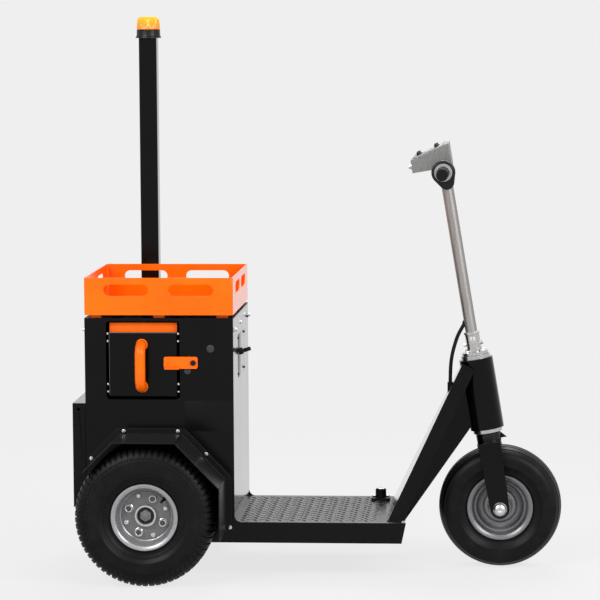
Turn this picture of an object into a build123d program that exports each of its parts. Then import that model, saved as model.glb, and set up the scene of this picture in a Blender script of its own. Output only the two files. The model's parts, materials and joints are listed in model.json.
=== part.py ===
from build123d import *
import os
from math import atan2, cos, radians, sin, tan

# Stand-on electric tow tractor with three wheels.
# +X is forward, +Y is the driver's left, +Z is up, the floor is Z = 0, and the
# origin lies on the floor below the middle of the overall length and width.

# Wheels
AXLE_AHEAD = 300
REAR_TYRE_R = 187
REAR_TYRE_W = 150
WHEEL_GAP = 10
FRONT_TYRE_R = 167
FRONT_TYRE_W = 124
RIM_SEAT_R = 76
RIM_FLANGE_R = 89.5
RIM_SHEET = 4
REAR_RIM_W = 114
FRONT_RIM_W = 96
HUB_R = 30
REAR_DISC = 17
FRONT_DISC = 10
HUB_IN = 20
HUB_OUT = 12
SHAFT_PAST_DISC = 4
HUB_END_GAP = 2
REAR_BULGE_R = 136
REAR_SHOULDER = (170, 6)
REAR_TREAD_HALF = 46
FRONT_BULGE_R = 126
FRONT_SHOULDER = (152, 5)
FRONT_TREAD_HALF = 34
FIT = 0.3

# Body shell
BODY_WIDTH = 430
BODY_LENGTH = 400
BODY_REAR_OVERHANG = 174
BODY_TOP = 702
SKIRT_BOTTOM = 96
DECK_TOP = 152
DECK_LENGTH = 410
SKIRT_FRONT_TOP = 50
TAIL_RISE = 102
SKIRT_FRONT_SLANT = 12
CORNER_R = 18
PANEL_T = 4
SHEET_T = 3
DECK_T = 5
DECK_FLANGE = 44

# Battery in the right side of the body
BAY_WIDTH = 198
BAY_HEIGHT = 210
BAY_REAR = 58
BAY_TOP_DROP = 9
BAY_CORNER_R = 9
BATTERY_DEPTH = 300
BATTERY_GAP = 8
BATTERY_FACE_T = 12
BATTERY_TOP_GAP = 5
BATTERY_STRIP = 29
HANDLE_LENGTH = 141
HANDLE_REACH = 40
HANDLE_BAR_R = 14
HANDLE_FROM_REAR = 154
LATCH_LENGTH = 91
LATCH_HEIGHT = 32
LATCH_T = 5
LATCH_END_R = 6
LATCH_PIVOT_R = 6
LATCH_PIVOT_IN = 12
LATCH_BOSS_R = 9
LATCH_STANDOFF = 3
LATCH_FROM_REAR = 214
LATCH_DROP = 119

# Rear box and tow jaw
BOX_DEPTH = 35
BOX_BOTTOM = 190
BOX_TOP = 472
BOX_HOLE_R = 4
BOX_HOLE_DROP = 17
BOX_HOLE_INSET = 19
JAW_REACH = 31
JAW_WIDTH = 60
JAW_PLATE_T = 8
JAW_GAP = 42
JAW_BORE_R = 9
JAW_Z = 300
JAW_FOOT_T = 6
JAW_FOOT_H = 110

# Mudguards
GUARD_WIDTH = 166
GUARD_T = 3
GUARD_FLANGE = 16
GUARD_TOP = 390
GUARD_TOP_REAR = -81
GUARD_TOP_FRONT = 86
GUARD_FRONT_X = 203
GUARD_FRONT_Z = 268
GUARD_FOOT_Z = 128
GUARD_REAR_DROP = 80
GUARD_BEND_R = 8

# Basket on the body
BASKET_GAP = 8
BASKET_HEIGHT = 100
BASKET_T = 3
SLOT_LENGTH = 121
SLOT_HEIGHT = 31
SLOT_DROP = 18
SLOT_PITCH = 174
END_WINDOW = 118
END_PITCH = 160
TAB_WIDTH = 30
TAB_DEPTH = 14

# Beacon mast on the left side
MAST_SIDE = 50
MAST_WALL = 3
MAST_CORNER_R = 5
MAST_FROM_REAR = 123.5
MAST_FOOT_Z = 430
MAST_TOP_Z = 1444
CLAMP_HEIGHT = 40
CLAMP_T = 5
CLAMP_EAR = 28
CLAMP_HEIGHTS = (480, 640)
BEACON_BASE_R = 36
BEACON_BASE_H = 24
BEACON_FOOT_R = 30
BEACON_LENS_R = 33
BEACON_LENS_H = 36
BEACON_LENS_TAPER = 4

# Steering head
HEAD_LEAN = 9.34
HEAD_R = 46
HEAD_BORE_R = 34
HEAD_LOW = 215
HEAD_LENGTH = 195
NECK_FOOT_WIDTH = 400
NECK_TOP_WIDTH = 98
NECK_DEPTH = 38
NECK_T = 4
NECK_TOP_DROP = 18
NECK_OVER = 16
KEEL_T = 40
KEEL_SUNK = 5
KEEL_LOW_DROP = 14
KEEL_TOE_UP = 14
GLAND_DROP = 62

# Fork, steering tube and handlebar, measured along the steering axis from the axle
CROWN_LOW = 173
CROWN_T = 10
CROWN_LENGTH = 66
LEG_T = 8
LEG_TOP_WIDTH = 62
LEG_END_R = 26
LEG_GAP = 6
AXLE_R = 8
NUT_R = 18
NUT_T = 12
STEM_R = 20
STEM_GAP = 2
BEARING_R = 40
BEARING_T = 10
FLANGE_R = 36
FLANGE_T = 8
BOSS_R = 22
BOSS_T = 10
SOCKET_R = 20
SOCKET_LENGTH = 38
TUBE_R = 16
TUBE_WALL = 3
BAR_V = 931
BAR_R = 11
BAR_HALF = 270
GRIP_R = 16
GRIP_LENGTH = 120
GRIP_CAP = 4
POD_R = 32
POD_T = 32
POD_DROP = 28
POD_TIP_R = 20
POD_TURN = 10
CONSOLE_REAR = 84
CONSOLE_FRONT = 24
CONSOLE_LOW = 939
CONSOLE_REAR_H = 35
CONSOLE_FRONT_H = 64
CONSOLE_WIDTH = 150

# Small things on the deck, the front panel and the head
SWITCH_BACK = 34
SWITCH_Y = 155
SWITCH_BASE = 52
SWITCH_BASE_H = 8
SWITCH_R = 15
SWITCH_H = 24
KEY_R = 10
KEY_H = 8
KEY_DROP = 108
KEY_Y = -40
CABLE_R = 5
CABLE_BEND_SHARE = 0.45
CABLE_STEPS = ((0, 0), (0, 34), (4, 72), (14, 110), (22, 146))

# Drive inside the body
AXLE_TUBE_R = 34
SHAFT_R = 15
MOTOR_LENGTH = 190
MOTOR_HEIGHT = 150
MOTOR_WIDTH = 220

# Places worked out from the sizes above
WHEELBASE = BODY_LENGTH - BODY_REAR_OVERHANG + DECK_LENGTH + AXLE_AHEAD
FRONT_X = (WHEELBASE + BODY_REAR_OVERHANG + BOX_DEPTH + JAW_REACH - FRONT_TYRE_R) / 2
REAR_X = FRONT_X - WHEELBASE
BODY_REAR = REAR_X - BODY_REAR_OVERHANG
BODY_FRONT = BODY_REAR + BODY_LENGTH
DECK_FRONT = BODY_FRONT + DECK_LENGTH
SKIRT_FRONT = DECK_FRONT + SKIRT_FRONT_TOP
SIDE_Y = BODY_WIDTH / 2
INNER_Y = SIDE_Y - PANEL_T
WHEEL_Y = SIDE_Y + WHEEL_GAP + REAR_TYRE_W / 2
LEAN = radians(HEAD_LEAN)
STEER = Plane(
    origin=(FRONT_X, 0, FRONT_TYRE_R), x_dir=(cos(LEAN), 0, sin(LEAN)), z_dir=(-sin(LEAN), 0, cos(LEAN))
)
HEAD_TOP = HEAD_LOW + HEAD_LENGTH
SIDES = (("right", -1), ("left", 1))

os.makedirs("parts", exist_ok=True)


def save(piece, name):
    piece.part.label = name
    export_step(piece.part, f"parts/{name}.step")


def side_plane(y):
    """Upright plane seen from the right: its x is forward, its y is up, its normal is -Y."""
    return Plane(origin=(0, y, 0), x_dir=(1, 0, 0), z_dir=(0, -1, 0))


def steer_side(y):
    """The side plane of the steering: x is forward across the steering axis, y is up along it."""
    return Plane(origin=STEER.origin + Vector(0, y, 0), x_dir=STEER.x_dir, z_dir=(0, -1, 0))


def mirrored(points):
    """A half profile of (radius, y) points and its mirror image across the wheel's middle."""
    return points + [(r, -y) for r, y in reversed(points)]


# Side panels: one flat plate each for the body's side and the skirt below the deck
TAIL_X = REAR_X + TAIL_RISE
for name, side in SIDES:
    with BuildPart() as side_panel:
        with BuildSketch(side_plane(-INNER_Y if side < 0 else SIDE_Y)) as outline:
            with BuildLine():
                Polyline(
                    (BODY_REAR, BOX_BOTTOM),
                    (TAIL_X, SKIRT_BOTTOM),
                    (SKIRT_FRONT - SKIRT_FRONT_SLANT, SKIRT_BOTTOM),
                    (SKIRT_FRONT, DECK_TOP),
                    (BODY_FRONT, DECK_TOP),
                    (BODY_FRONT, BODY_TOP),
                    (BODY_REAR, BODY_TOP),
                    close=True,
                )
            make_face()
            inner_corner = outline.vertices().sort_by_distance(
                side_plane(0).from_local_coords((BODY_FRONT, DECK_TOP, 0))
            )
            fillet(inner_corner[0], CORNER_R)
            with Locations((REAR_X, REAR_TYRE_R)):
                Circle(SHAFT_R + FIT, mode=Mode.SUBTRACT)
            if side < 0:
                with Locations((BODY_REAR + BAY_REAR + BAY_WIDTH / 2, BODY_TOP - BAY_TOP_DROP - BAY_HEIGHT / 2)):
                    RectangleRounded(BAY_WIDTH, BAY_HEIGHT, BAY_CORNER_R, mode=Mode.SUBTRACT)
        extrude(amount=PANEL_T)
    save(side_panel, f"side_panel_{name}")

# Front, rear and top sheets close the body between the side panels
UPRIGHTS = (("front_panel", BODY_FRONT - SHEET_T, DECK_TOP), ("rear_panel", BODY_REAR, BOX_BOTTOM))
for name, x, low in UPRIGHTS:
    with BuildPart() as upright:
        with BuildSketch(Plane.XY.offset(low)):
            with Locations((x + SHEET_T / 2, 0)):
                Rectangle(SHEET_T, 2 * INNER_Y)
        extrude(amount=BODY_TOP - SHEET_T - low)
    save(upright, name)

with BuildPart() as top_panel:
    with BuildSketch(Plane.XY.offset(BODY_TOP - SHEET_T)):
        with Locations((BODY_REAR + BODY_LENGTH / 2, 0)):
            Rectangle(BODY_LENGTH, 2 * INNER_Y)
    extrude(amount=SHEET_T)
save(top_panel, "top_panel")

# Deck: a tread plate with its front edge folded down between the skirts
with BuildPart() as deck_plate:
    with BuildSketch(side_plane(INNER_Y)):
        with BuildLine():
            Polyline(
                (BODY_FRONT - SHEET_T, DECK_TOP - DECK_T),
                (BODY_FRONT - SHEET_T, DECK_TOP),
                (SKIRT_FRONT - SKIRT_FRONT_SLANT, DECK_TOP),
                (SKIRT_FRONT - SKIRT_FRONT_SLANT, DECK_TOP - DECK_FLANGE),
                (SKIRT_FRONT - SKIRT_FRONT_SLANT - DECK_T, DECK_TOP - DECK_FLANGE),
                (SKIRT_FRONT - SKIRT_FRONT_SLANT - DECK_T, DECK_TOP - DECK_T),
                close=True,
            )
        make_face()
    extrude(amount=2 * INNER_Y)
save(deck_plate, "deck_plate")

# Rear box: a folded cover on the back of the body that carries the tow jaw
with BuildPart() as rear_box:
    with BuildSketch(side_plane(SIDE_Y)):
        with Locations((BODY_REAR - BOX_DEPTH / 2, (BOX_BOTTOM + BOX_TOP) / 2)):
            Rectangle(BOX_DEPTH, BOX_TOP - BOX_BOTTOM)
    extrude(amount=BODY_WIDTH)
    offset(amount=-SHEET_T, openings=rear_box.faces().sort_by(Axis.X)[-1], kind=Kind.INTERSECTION)
    with BuildSketch(side_plane(SIDE_Y)):
        with Locations((BODY_REAR - BOX_HOLE_INSET, BOX_TOP - BOX_HOLE_DROP)):
            Circle(BOX_HOLE_R)
    extrude(amount=BODY_WIDTH, mode=Mode.SUBTRACT)
save(rear_box, "rear_box")

# Tow jaw: a foot plate and two lugs with a bore for the drawbar's pin
BOX_REAR = BODY_REAR - BOX_DEPTH
with BuildPart() as tow_jaw:
    with BuildSketch(Plane.XY.offset(JAW_Z - JAW_FOOT_H / 2)):
        with Locations((BOX_REAR - JAW_FOOT_T / 2, 0)):
            Rectangle(JAW_FOOT_T, JAW_WIDTH)
    extrude(amount=JAW_FOOT_H)
    for low in (JAW_Z - JAW_GAP / 2 - JAW_PLATE_T, JAW_Z + JAW_GAP / 2):
        with BuildSketch(Plane.XY.offset(low)):
            with Locations((BOX_REAR - JAW_FOOT_T / 2, 0)):
                Rectangle(JAW_FOOT_T, JAW_WIDTH)
            with Locations((BOX_REAR - JAW_REACH + JAW_WIDTH / 4, 0)):
                Circle(JAW_WIDTH / 4)
            make_hull()
            with Locations((BOX_REAR - JAW_REACH + JAW_WIDTH / 4, 0)):
                Circle(JAW_BORE_R, mode=Mode.SUBTRACT)
        extrude(amount=JAW_PLATE_T)
save(tow_jaw, "tow_jaw")

# Mudguards: a bent strip over each rear wheel, with a flange screwed to the side panel
GUARD_LINE = (
    (REAR_X + GUARD_TOP_REAR - GUARD_REAR_DROP, GUARD_TOP - GUARD_REAR_DROP),
    (REAR_X + GUARD_TOP_REAR, GUARD_TOP),
    (REAR_X + GUARD_TOP_FRONT, GUARD_TOP),
    (REAR_X + GUARD_FRONT_X, GUARD_FRONT_Z),
    (REAR_X + GUARD_FRONT_X, GUARD_FOOT_Z),
)
for name, side in SIDES:
    with BuildPart() as mudguard:
        for reach, band, hand in ((GUARD_WIDTH, GUARD_T, Side.RIGHT), (GUARD_T, GUARD_FLANGE, Side.LEFT)):
            with BuildSketch(side_plane(side * SIDE_Y)):
                with BuildLine():
                    FilletPolyline(*GUARD_LINE, radius=GUARD_BEND_R)
                    offset(amount=band, side=hand)
                make_face()
            extrude(amount=-side * reach)
    save(mudguard, f"mudguard_{name}")

# Rear axle: a tube between the side panels with a shaft out to each wheel, and the motor on it
SHAFT_END = WHEEL_Y + REAR_DISC + SHAFT_PAST_DISC
with BuildPart() as rear_axle:
    with BuildSketch(side_plane(INNER_Y)):
        with Locations((REAR_X, REAR_TYRE_R)):
            Circle(AXLE_TUBE_R)
    extrude(amount=2 * INNER_Y)
    with BuildSketch(side_plane(SHAFT_END)):
        with Locations((REAR_X, REAR_TYRE_R)):
            Circle(SHAFT_R)
    extrude(amount=2 * SHAFT_END)
save(rear_axle, "rear_axle")

with BuildPart() as drive_motor:
    with BuildSketch(side_plane(MOTOR_WIDTH / 2)):
        with Locations((REAR_X, REAR_TYRE_R + AXLE_TUBE_R + MOTOR_HEIGHT / 2)):
            RectangleRounded(MOTOR_LENGTH, MOTOR_HEIGHT, AXLE_TUBE_R)
    extrude(amount=MOTOR_WIDTH)
save(drive_motor, "drive_motor")

# Battery: a case on a shelf, its black face in the bay, and a pull handle
BAY_MID_X = BODY_REAR + BAY_REAR + BAY_WIDTH / 2
BAY_TOP = BODY_TOP - BAY_TOP_DROP
BAY_LOW = BAY_TOP - BAY_HEIGHT
CASE_WIDTH = BAY_WIDTH - 2 * BATTERY_GAP
FACE_Y = -SIDE_Y + LATCH_STANDOFF
with BuildPart() as battery_shelf:
    with BuildSketch(Plane.XY.offset(BAY_LOW - SHEET_T)):
        with Locations((BODY_REAR + BODY_LENGTH / 2, 0)):
            Rectangle(BODY_LENGTH - 2 * SHEET_T, 2 * INNER_Y)
    extrude(amount=SHEET_T)
save(battery_shelf, "battery_shelf")

with BuildPart() as battery_case:
    with BuildSketch(Plane.XY.offset(BAY_LOW)):
        with Locations((BAY_MID_X, FACE_Y + BATTERY_FACE_T + BATTERY_DEPTH / 2)):
            Rectangle(CASE_WIDTH, BATTERY_DEPTH)
    extrude(amount=BAY_HEIGHT - BATTERY_TOP_GAP)
save(battery_case, "battery_case")

with BuildPart() as battery_face:
    with BuildSketch(side_plane(FACE_Y + BATTERY_FACE_T)):
        with Locations((BAY_MID_X, BAY_LOW + (BAY_HEIGHT - BATTERY_STRIP) / 2)):
            Rectangle(CASE_WIDTH, BAY_HEIGHT - BATTERY_STRIP - 2 * FIT)
    extrude(amount=BATTERY_FACE_T)
    fillet(battery_face.faces().sort_by(Axis.Y)[0].edges(), SHEET_T / 2)
save(battery_face, "battery_face")

HANDLE_X = BODY_REAR + HANDLE_FROM_REAR
HANDLE_LOW = BAY_LOW + (BAY_HEIGHT - BATTERY_STRIP - HANDLE_LENGTH) / 2 + HANDLE_BAR_R
with BuildPart() as battery_handle:
    with BuildLine() as grip_line:
        FilletPolyline(
            (HANDLE_X, FACE_Y, HANDLE_LOW),
            (HANDLE_X, FACE_Y - HANDLE_REACH, HANDLE_LOW),
            (HANDLE_X, FACE_Y - HANDLE_REACH, HANDLE_LOW + HANDLE_LENGTH - 2 * HANDLE_BAR_R),
            (HANDLE_X, FACE_Y, HANDLE_LOW + HANDLE_LENGTH - 2 * HANDLE_BAR_R),
            radius=HANDLE_BAR_R * 2,
        )
    with BuildSketch(Plane(origin=grip_line.line @ 0, z_dir=grip_line.line % 0)):
        Circle(HANDLE_BAR_R)
    sweep()
save(battery_handle, "battery_handle")

# Latch: a flat bar on a pivot boss, turned across the battery's face
LATCH_X = BODY_REAR + LATCH_FROM_REAR
LATCH_PIVOT_X = LATCH_X + LATCH_LENGTH - LATCH_PIVOT_IN
LATCH_Z = BODY_TOP - LATCH_DROP
with BuildPart() as battery_latch:
    with BuildSketch(side_plane(-SIDE_Y - LATCH_STANDOFF)):
        with Locations((LATCH_X + LATCH_LENGTH / 2, LATCH_Z)):
            RectangleRounded(LATCH_LENGTH, LATCH_HEIGHT, LATCH_END_R)
    extrude(amount=LATCH_T)
    with BuildSketch(side_plane(-SIDE_Y)):
        with Locations((LATCH_PIVOT_X, LATCH_Z)):
            Circle(LATCH_BOSS_R)
    extrude(amount=LATCH_STANDOFF)
    with BuildSketch(side_plane(-SIDE_Y - LATCH_STANDOFF - LATCH_T)):
        with Locations((LATCH_PIVOT_X, LATCH_Z)):
            RegularPolygon(LATCH_PIVOT_R, 6)
    extrude(amount=LATCH_T)
save(battery_latch, "battery_latch")

# Basket: an open tray of orange sheet with slotted walls, on tabs above the body
BASKET_LOW = BODY_TOP + BASKET_GAP
BASKET_MID_X = BODY_REAR + BODY_LENGTH / 2
SLOT_Z = BASKET_LOW + BASKET_HEIGHT - SLOT_DROP - SLOT_HEIGHT / 2
with BuildPart() as basket:
    with BuildSketch(Plane.XY.offset(BASKET_LOW)):
        with Locations((BASKET_MID_X, 0)):
            Rectangle(BODY_LENGTH, BODY_WIDTH)
    extrude(amount=BASKET_HEIGHT)
    fillet(basket.edges().filter_by(Axis.Z), BASKET_T * 2)
    offset(amount=-BASKET_T, openings=basket.faces().sort_by(Axis.Z)[-1])
    with BuildSketch(side_plane(SIDE_Y)):
        for shift in (-SLOT_PITCH / 2, SLOT_PITCH / 2):
            with Locations((BASKET_MID_X + shift, SLOT_Z)):
                SlotOverall(SLOT_LENGTH, SLOT_HEIGHT)
    extrude(amount=BODY_WIDTH, mode=Mode.SUBTRACT)
    with BuildSketch(Plane(origin=(BODY_REAR, 0, 0), x_dir=(0, 1, 0), z_dir=(1, 0, 0))):
        for shift in (-END_PITCH / 2, END_PITCH / 2):
            with Locations((shift, SLOT_Z)):
                SlotOverall(END_WINDOW, SLOT_HEIGHT)
    extrude(amount=BODY_LENGTH, mode=Mode.SUBTRACT)
save(basket, "basket")

TAB_SPAN_X = BODY_LENGTH / 2 - TAB_WIDTH
with BuildPart() as basket_feet:
    with BuildSketch(Plane.XY.offset(BODY_TOP)):
        with Locations((BASKET_MID_X, 0)):
            with GridLocations(TAB_SPAN_X, BODY_WIDTH - 2 * TAB_DEPTH - 2 * PANEL_T, 3, 2):
                Rectangle(TAB_WIDTH, TAB_DEPTH)
    extrude(amount=BASKET_GAP)
save(basket_feet, "basket_feet")

# Mast: a square tube clamped to the left side panel, with the beacon on its cap
MAST_X = BODY_REAR + MAST_FROM_REAR
MAST_Y = SIDE_Y + MAST_SIDE / 2
with BuildPart() as mast:
    with BuildSketch(Plane.XY.offset(MAST_FOOT_Z)):
        with Locations((MAST_X, MAST_Y)):
            RectangleRounded(MAST_SIDE, MAST_SIDE, MAST_CORNER_R)
    extrude(amount=MAST_TOP_Z - MAST_FOOT_Z)
    offset(amount=-MAST_WALL, openings=mast.faces().sort_by(Axis.Z)[0], kind=Kind.INTERSECTION)
save(mast, "mast")

with BuildPart() as mast_clamps:
    for z in CLAMP_HEIGHTS:
        with BuildSketch(Plane.XY.offset(z)):
            with Locations((MAST_X, SIDE_Y + MAST_SIDE / 2 + CLAMP_T / 2)):
                Rectangle(MAST_SIDE + 2 * CLAMP_T, MAST_SIDE + CLAMP_T)
            with Locations((MAST_X, SIDE_Y + CLAMP_T / 2)):
                Rectangle(MAST_SIDE + 2 * CLAMP_EAR, CLAMP_T)
            with Locations((MAST_X, MAST_Y)):
                Rectangle(MAST_SIDE, MAST_SIDE, mode=Mode.SUBTRACT)
        extrude(amount=CLAMP_HEIGHT)
save(mast_clamps, "mast_clamps")

BEACON_PROFILE = (
    (0, MAST_TOP_Z),
    (BEACON_FOOT_R, MAST_TOP_Z),
    (BEACON_BASE_R, MAST_TOP_Z + BEACON_BASE_H / 3),
    (BEACON_LENS_R, MAST_TOP_Z + BEACON_BASE_H),
    (0, MAST_TOP_Z + BEACON_BASE_H),
)
MAST_TURN = Plane(origin=(MAST_X, MAST_Y, 0), x_dir=(1, 0, 0), z_dir=(0, -1, 0))
with BuildPart() as beacon_base:
    with BuildSketch(MAST_TURN):
        Polygon(*BEACON_PROFILE, align=None)
    revolve(axis=Axis((MAST_X, MAST_Y, 0), (0, 0, 1)))
save(beacon_base, "beacon_base")

LENS_LOW = MAST_TOP_Z + BEACON_BASE_H
with BuildPart() as beacon_lens:
    with BuildSketch(Plane.XY.offset(LENS_LOW)):
        with Locations((MAST_X, MAST_Y)):
            Circle(BEACON_LENS_R)
    extrude(amount=BEACON_LENS_H, taper=BEACON_LENS_TAPER)
    fillet(beacon_lens.edges().sort_by(Axis.Z)[-1], BEACON_LENS_H / 4)
save(beacon_lens, "beacon_lens")

# Neck: a tapered channel of folded sheet from the deck's front edge up to the head tube
NECK_HEAD = STEER.from_local_coords((-HEAD_R, 0, HEAD_TOP - NECK_TOP_DROP))
NECK_LEAN = atan2(NECK_HEAD.X - DECK_FRONT, NECK_HEAD.Z - DECK_TOP)
NECK_LENGTH = (NECK_HEAD.Z - DECK_TOP) / cos(NECK_LEAN)
NECK_PLANE = Plane(
    origin=(DECK_FRONT, 0, DECK_TOP), x_dir=(0, -1, 0), z_dir=(-cos(NECK_LEAN), 0, sin(NECK_LEAN))
)
NECK_OUTLINE = (
    (-NECK_FOOT_WIDTH / 2, -NECK_DEPTH),
    (NECK_FOOT_WIDTH / 2, -NECK_DEPTH),
    (NECK_TOP_WIDTH / 2, NECK_LENGTH),
    (NECK_TOP_WIDTH / 2, NECK_LENGTH + NECK_OVER),
    (-NECK_TOP_WIDTH / 2, NECK_LENGTH + NECK_OVER),
    (-NECK_TOP_WIDTH / 2, NECK_LENGTH),
)
GLAND_R = CABLE_R + SHEET_T
GLAND_H = 3 * CABLE_R
GLAND_SUNK = GLAND_R / tan(NECK_LEAN)
GLAND_FOOT = NECK_PLANE.from_local_coords((0, NECK_LENGTH - GLAND_DROP, 0))
with BuildPart() as neck:
    with BuildSketch(NECK_PLANE):
        Polygon(*NECK_OUTLINE, align=None)
    extrude(amount=-NECK_DEPTH)
    with BuildSketch(NECK_PLANE.offset(-NECK_T)):
        Polygon(*NECK_OUTLINE, align=None)
        offset(amount=-NECK_T, kind=Kind.INTERSECTION)
    extrude(amount=-NECK_DEPTH, mode=Mode.SUBTRACT)
    split(bisect_by=Plane.XY.offset(DECK_TOP), keep=Keep.TOP)
    with BuildSketch(Plane(origin=GLAND_FOOT - Vector(0, 0, GLAND_SUNK), z_dir=(0, 0, 1))):
        Circle(GLAND_R)
    extrude(amount=GLAND_H + GLAND_SUNK)
    with BuildSketch(STEER.offset(HEAD_LOW)):
        Circle(HEAD_R)
    extrude(amount=2 * HEAD_LENGTH, mode=Mode.SUBTRACT)
save(neck, "neck")

# Keel: a gusset under the neck, from the lower end of the head tube to the deck's front fold
KEEL_HEAD = STEER.from_local_coords((KEEL_SUNK - HEAD_R, 0, HEAD_LOW + KEEL_LOW_DROP))
KEEL_TOE_X = SKIRT_FRONT - SKIRT_FRONT_SLANT
with BuildPart() as keel:
    with BuildSketch(side_plane(KEEL_T / 2)):
        Polygon(
            (DECK_FRONT + NECK_T, DECK_TOP),
            (KEEL_TOE_X, DECK_TOP),
            (KEEL_TOE_X, DECK_TOP - DECK_FLANGE + KEEL_TOE_UP),
            (KEEL_HEAD.X, KEEL_HEAD.Z),
            (NECK_HEAD.X + NECK_T, NECK_HEAD.Z),
            align=None,
        )
    extrude(amount=KEEL_T)
    with BuildSketch(NECK_PLANE.offset(-NECK_T)):
        Rectangle(NECK_FOOT_WIDTH, 4 * NECK_LENGTH)
    extrude(amount=NECK_DEPTH, mode=Mode.SUBTRACT)
    with BuildSketch(STEER):
        Circle(HEAD_R)
    extrude(amount=2 * HEAD_TOP, mode=Mode.SUBTRACT)
    add(neck.part, mode=Mode.SUBTRACT)
save(keel, "keel")

# Head tube with a bearing cap on each end
with BuildPart() as head_tube:
    with BuildSketch(STEER.offset(HEAD_LOW)):
        Circle(HEAD_R)
        Circle(HEAD_BORE_R, mode=Mode.SUBTRACT)
    extrude(amount=HEAD_LENGTH)
save(head_tube, "head_tube")

with BuildPart() as head_bearings:
    for low in (HEAD_LOW - BEARING_T, HEAD_TOP):
        with BuildSketch(STEER.offset(low)):
            Circle(BEARING_R)
            Circle(STEM_R + FIT, mode=Mode.SUBTRACT)
        extrude(amount=BEARING_T)
save(head_bearings, "head_bearings")

# Fork: a stem through the head tube on a crown plate, with a flat leg on each side of the wheel
CROWN_TOP = CROWN_LOW + CROWN_T
STEM_TOP = HEAD_TOP + BEARING_T + FIT
LEG_Y = FRONT_TYRE_W / 2 + LEG_GAP
with BuildPart() as fork_crown:
    with BuildSketch(STEER.offset(CROWN_LOW)):
        Rectangle(CROWN_LENGTH, 2 * LEG_Y)
    extrude(amount=CROWN_T)
save(fork_crown, "fork_crown")

with BuildPart() as fork_stem:
    with BuildSketch(STEER.offset(CROWN_TOP)):
        Circle(HEAD_BORE_R)
    extrude(amount=HEAD_LOW - BEARING_T - STEM_GAP - CROWN_TOP)
    with BuildSketch(STEER.offset(CROWN_TOP)):
        Circle(STEM_R)
    extrude(amount=STEM_TOP - CROWN_TOP)
save(fork_stem, "fork_stem")

for name, side in SIDES:
    with BuildPart() as fork_leg:
        with BuildSketch(steer_side(side * LEG_Y)):
            Circle(LEG_END_R)
            with Locations((0, CROWN_TOP - CROWN_T / 2)):
                Rectangle(LEG_TOP_WIDTH, CROWN_T)
            make_hull()
            Circle(AXLE_R + FIT, mode=Mode.SUBTRACT)
        extrude(amount=-side * LEG_T)
    save(fork_leg, f"fork_leg_{name}")

NUT_Y = LEG_Y + LEG_T
with BuildPart() as front_axle:
    with BuildSketch(steer_side(NUT_Y + NUT_T)):
        Circle(AXLE_R)
    extrude(amount=2 * (NUT_Y + NUT_T))
    for name, side in SIDES:
        with BuildSketch(steer_side(side * NUT_Y)):
            RegularPolygon(NUT_R, 6)
        extrude(amount=-side * NUT_T)
save(front_axle, "front_axle")

# Steering tube in its socket, up to the handlebar and the console above it
TUBE_FOOT = STEM_TOP + FLANGE_T + BOSS_T
with BuildPart() as stem_socket:
    with BuildSketch(STEER.offset(STEM_TOP)):
        Circle(FLANGE_R)
    extrude(amount=FLANGE_T)
    with BuildSketch(STEER.offset(STEM_TOP + FLANGE_T)):
        Circle(BOSS_R)
    extrude(amount=BOSS_T)
    with BuildSketch(STEER.offset(TUBE_FOOT)):
        Circle(SOCKET_R)
        Circle(TUBE_R, mode=Mode.SUBTRACT)
    extrude(amount=SOCKET_LENGTH)
save(stem_socket, "stem_socket")

with BuildPart() as steering_tube:
    with BuildSketch(STEER.offset(TUBE_FOOT)):
        Circle(TUBE_R)
        Circle(TUBE_R - TUBE_WALL, mode=Mode.SUBTRACT)
    extrude(amount=CONSOLE_LOW - TUBE_FOOT)
    with BuildSketch(steer_side(TUBE_R)):
        with Locations((0, BAR_V)):
            Circle(BAR_R + FIT)
    extrude(amount=2 * TUBE_R, mode=Mode.SUBTRACT)
save(steering_tube, "steering_tube")

with BuildPart() as handlebar:
    with BuildSketch(steer_side(BAR_HALF)):
        with Locations((0, BAR_V)):
            Circle(BAR_R)
    extrude(amount=2 * BAR_HALF)
save(handlebar, "handlebar")

with BuildPart() as grips:
    for name, side in SIDES:
        with BuildSketch(steer_side(side * (BAR_HALF - GRIP_LENGTH))):
            with Locations((0, BAR_V)):
                Circle(GRIP_R)
                Circle(BAR_R, mode=Mode.SUBTRACT)
        extrude(amount=-side * GRIP_LENGTH)
        with BuildSketch(steer_side(side * BAR_HALF)):
            with Locations((0, BAR_V)):
                Circle(GRIP_R)
        extrude(amount=-side * GRIP_CAP)
save(grips, "grips")

# Throttle pod beside the right grip: a rounded housing that hangs forward and down
POD_Y = BAR_HALF - GRIP_LENGTH - FIT
with BuildPart() as throttle_pod:
    with BuildSketch(steer_side(-POD_Y + POD_T)):
        with Locations((0, BAR_V)):
            Circle(POD_R)
        with Locations((POD_DROP * sin(radians(POD_TURN)), BAR_V - POD_DROP * cos(radians(POD_TURN)))):
            Circle(POD_TIP_R)
        make_hull()
        with Locations((0, BAR_V)):
            Circle(BAR_R, mode=Mode.SUBTRACT)
    extrude(amount=POD_T)
save(throttle_pod, "throttle_pod")

with BuildPart() as console:
    with BuildSketch(steer_side(CONSOLE_WIDTH / 2)):
        Polygon(
            (-CONSOLE_REAR, CONSOLE_LOW),
            (CONSOLE_FRONT, CONSOLE_LOW),
            (CONSOLE_FRONT, CONSOLE_LOW + CONSOLE_FRONT_H),
            (-CONSOLE_REAR, CONSOLE_LOW + CONSOLE_REAR_H),
            align=None,
        )
        with Locations((0, BAR_V)):
            Circle(BAR_R + FIT, mode=Mode.SUBTRACT)
    extrude(amount=CONSOLE_WIDTH)
save(console, "console")

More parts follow.
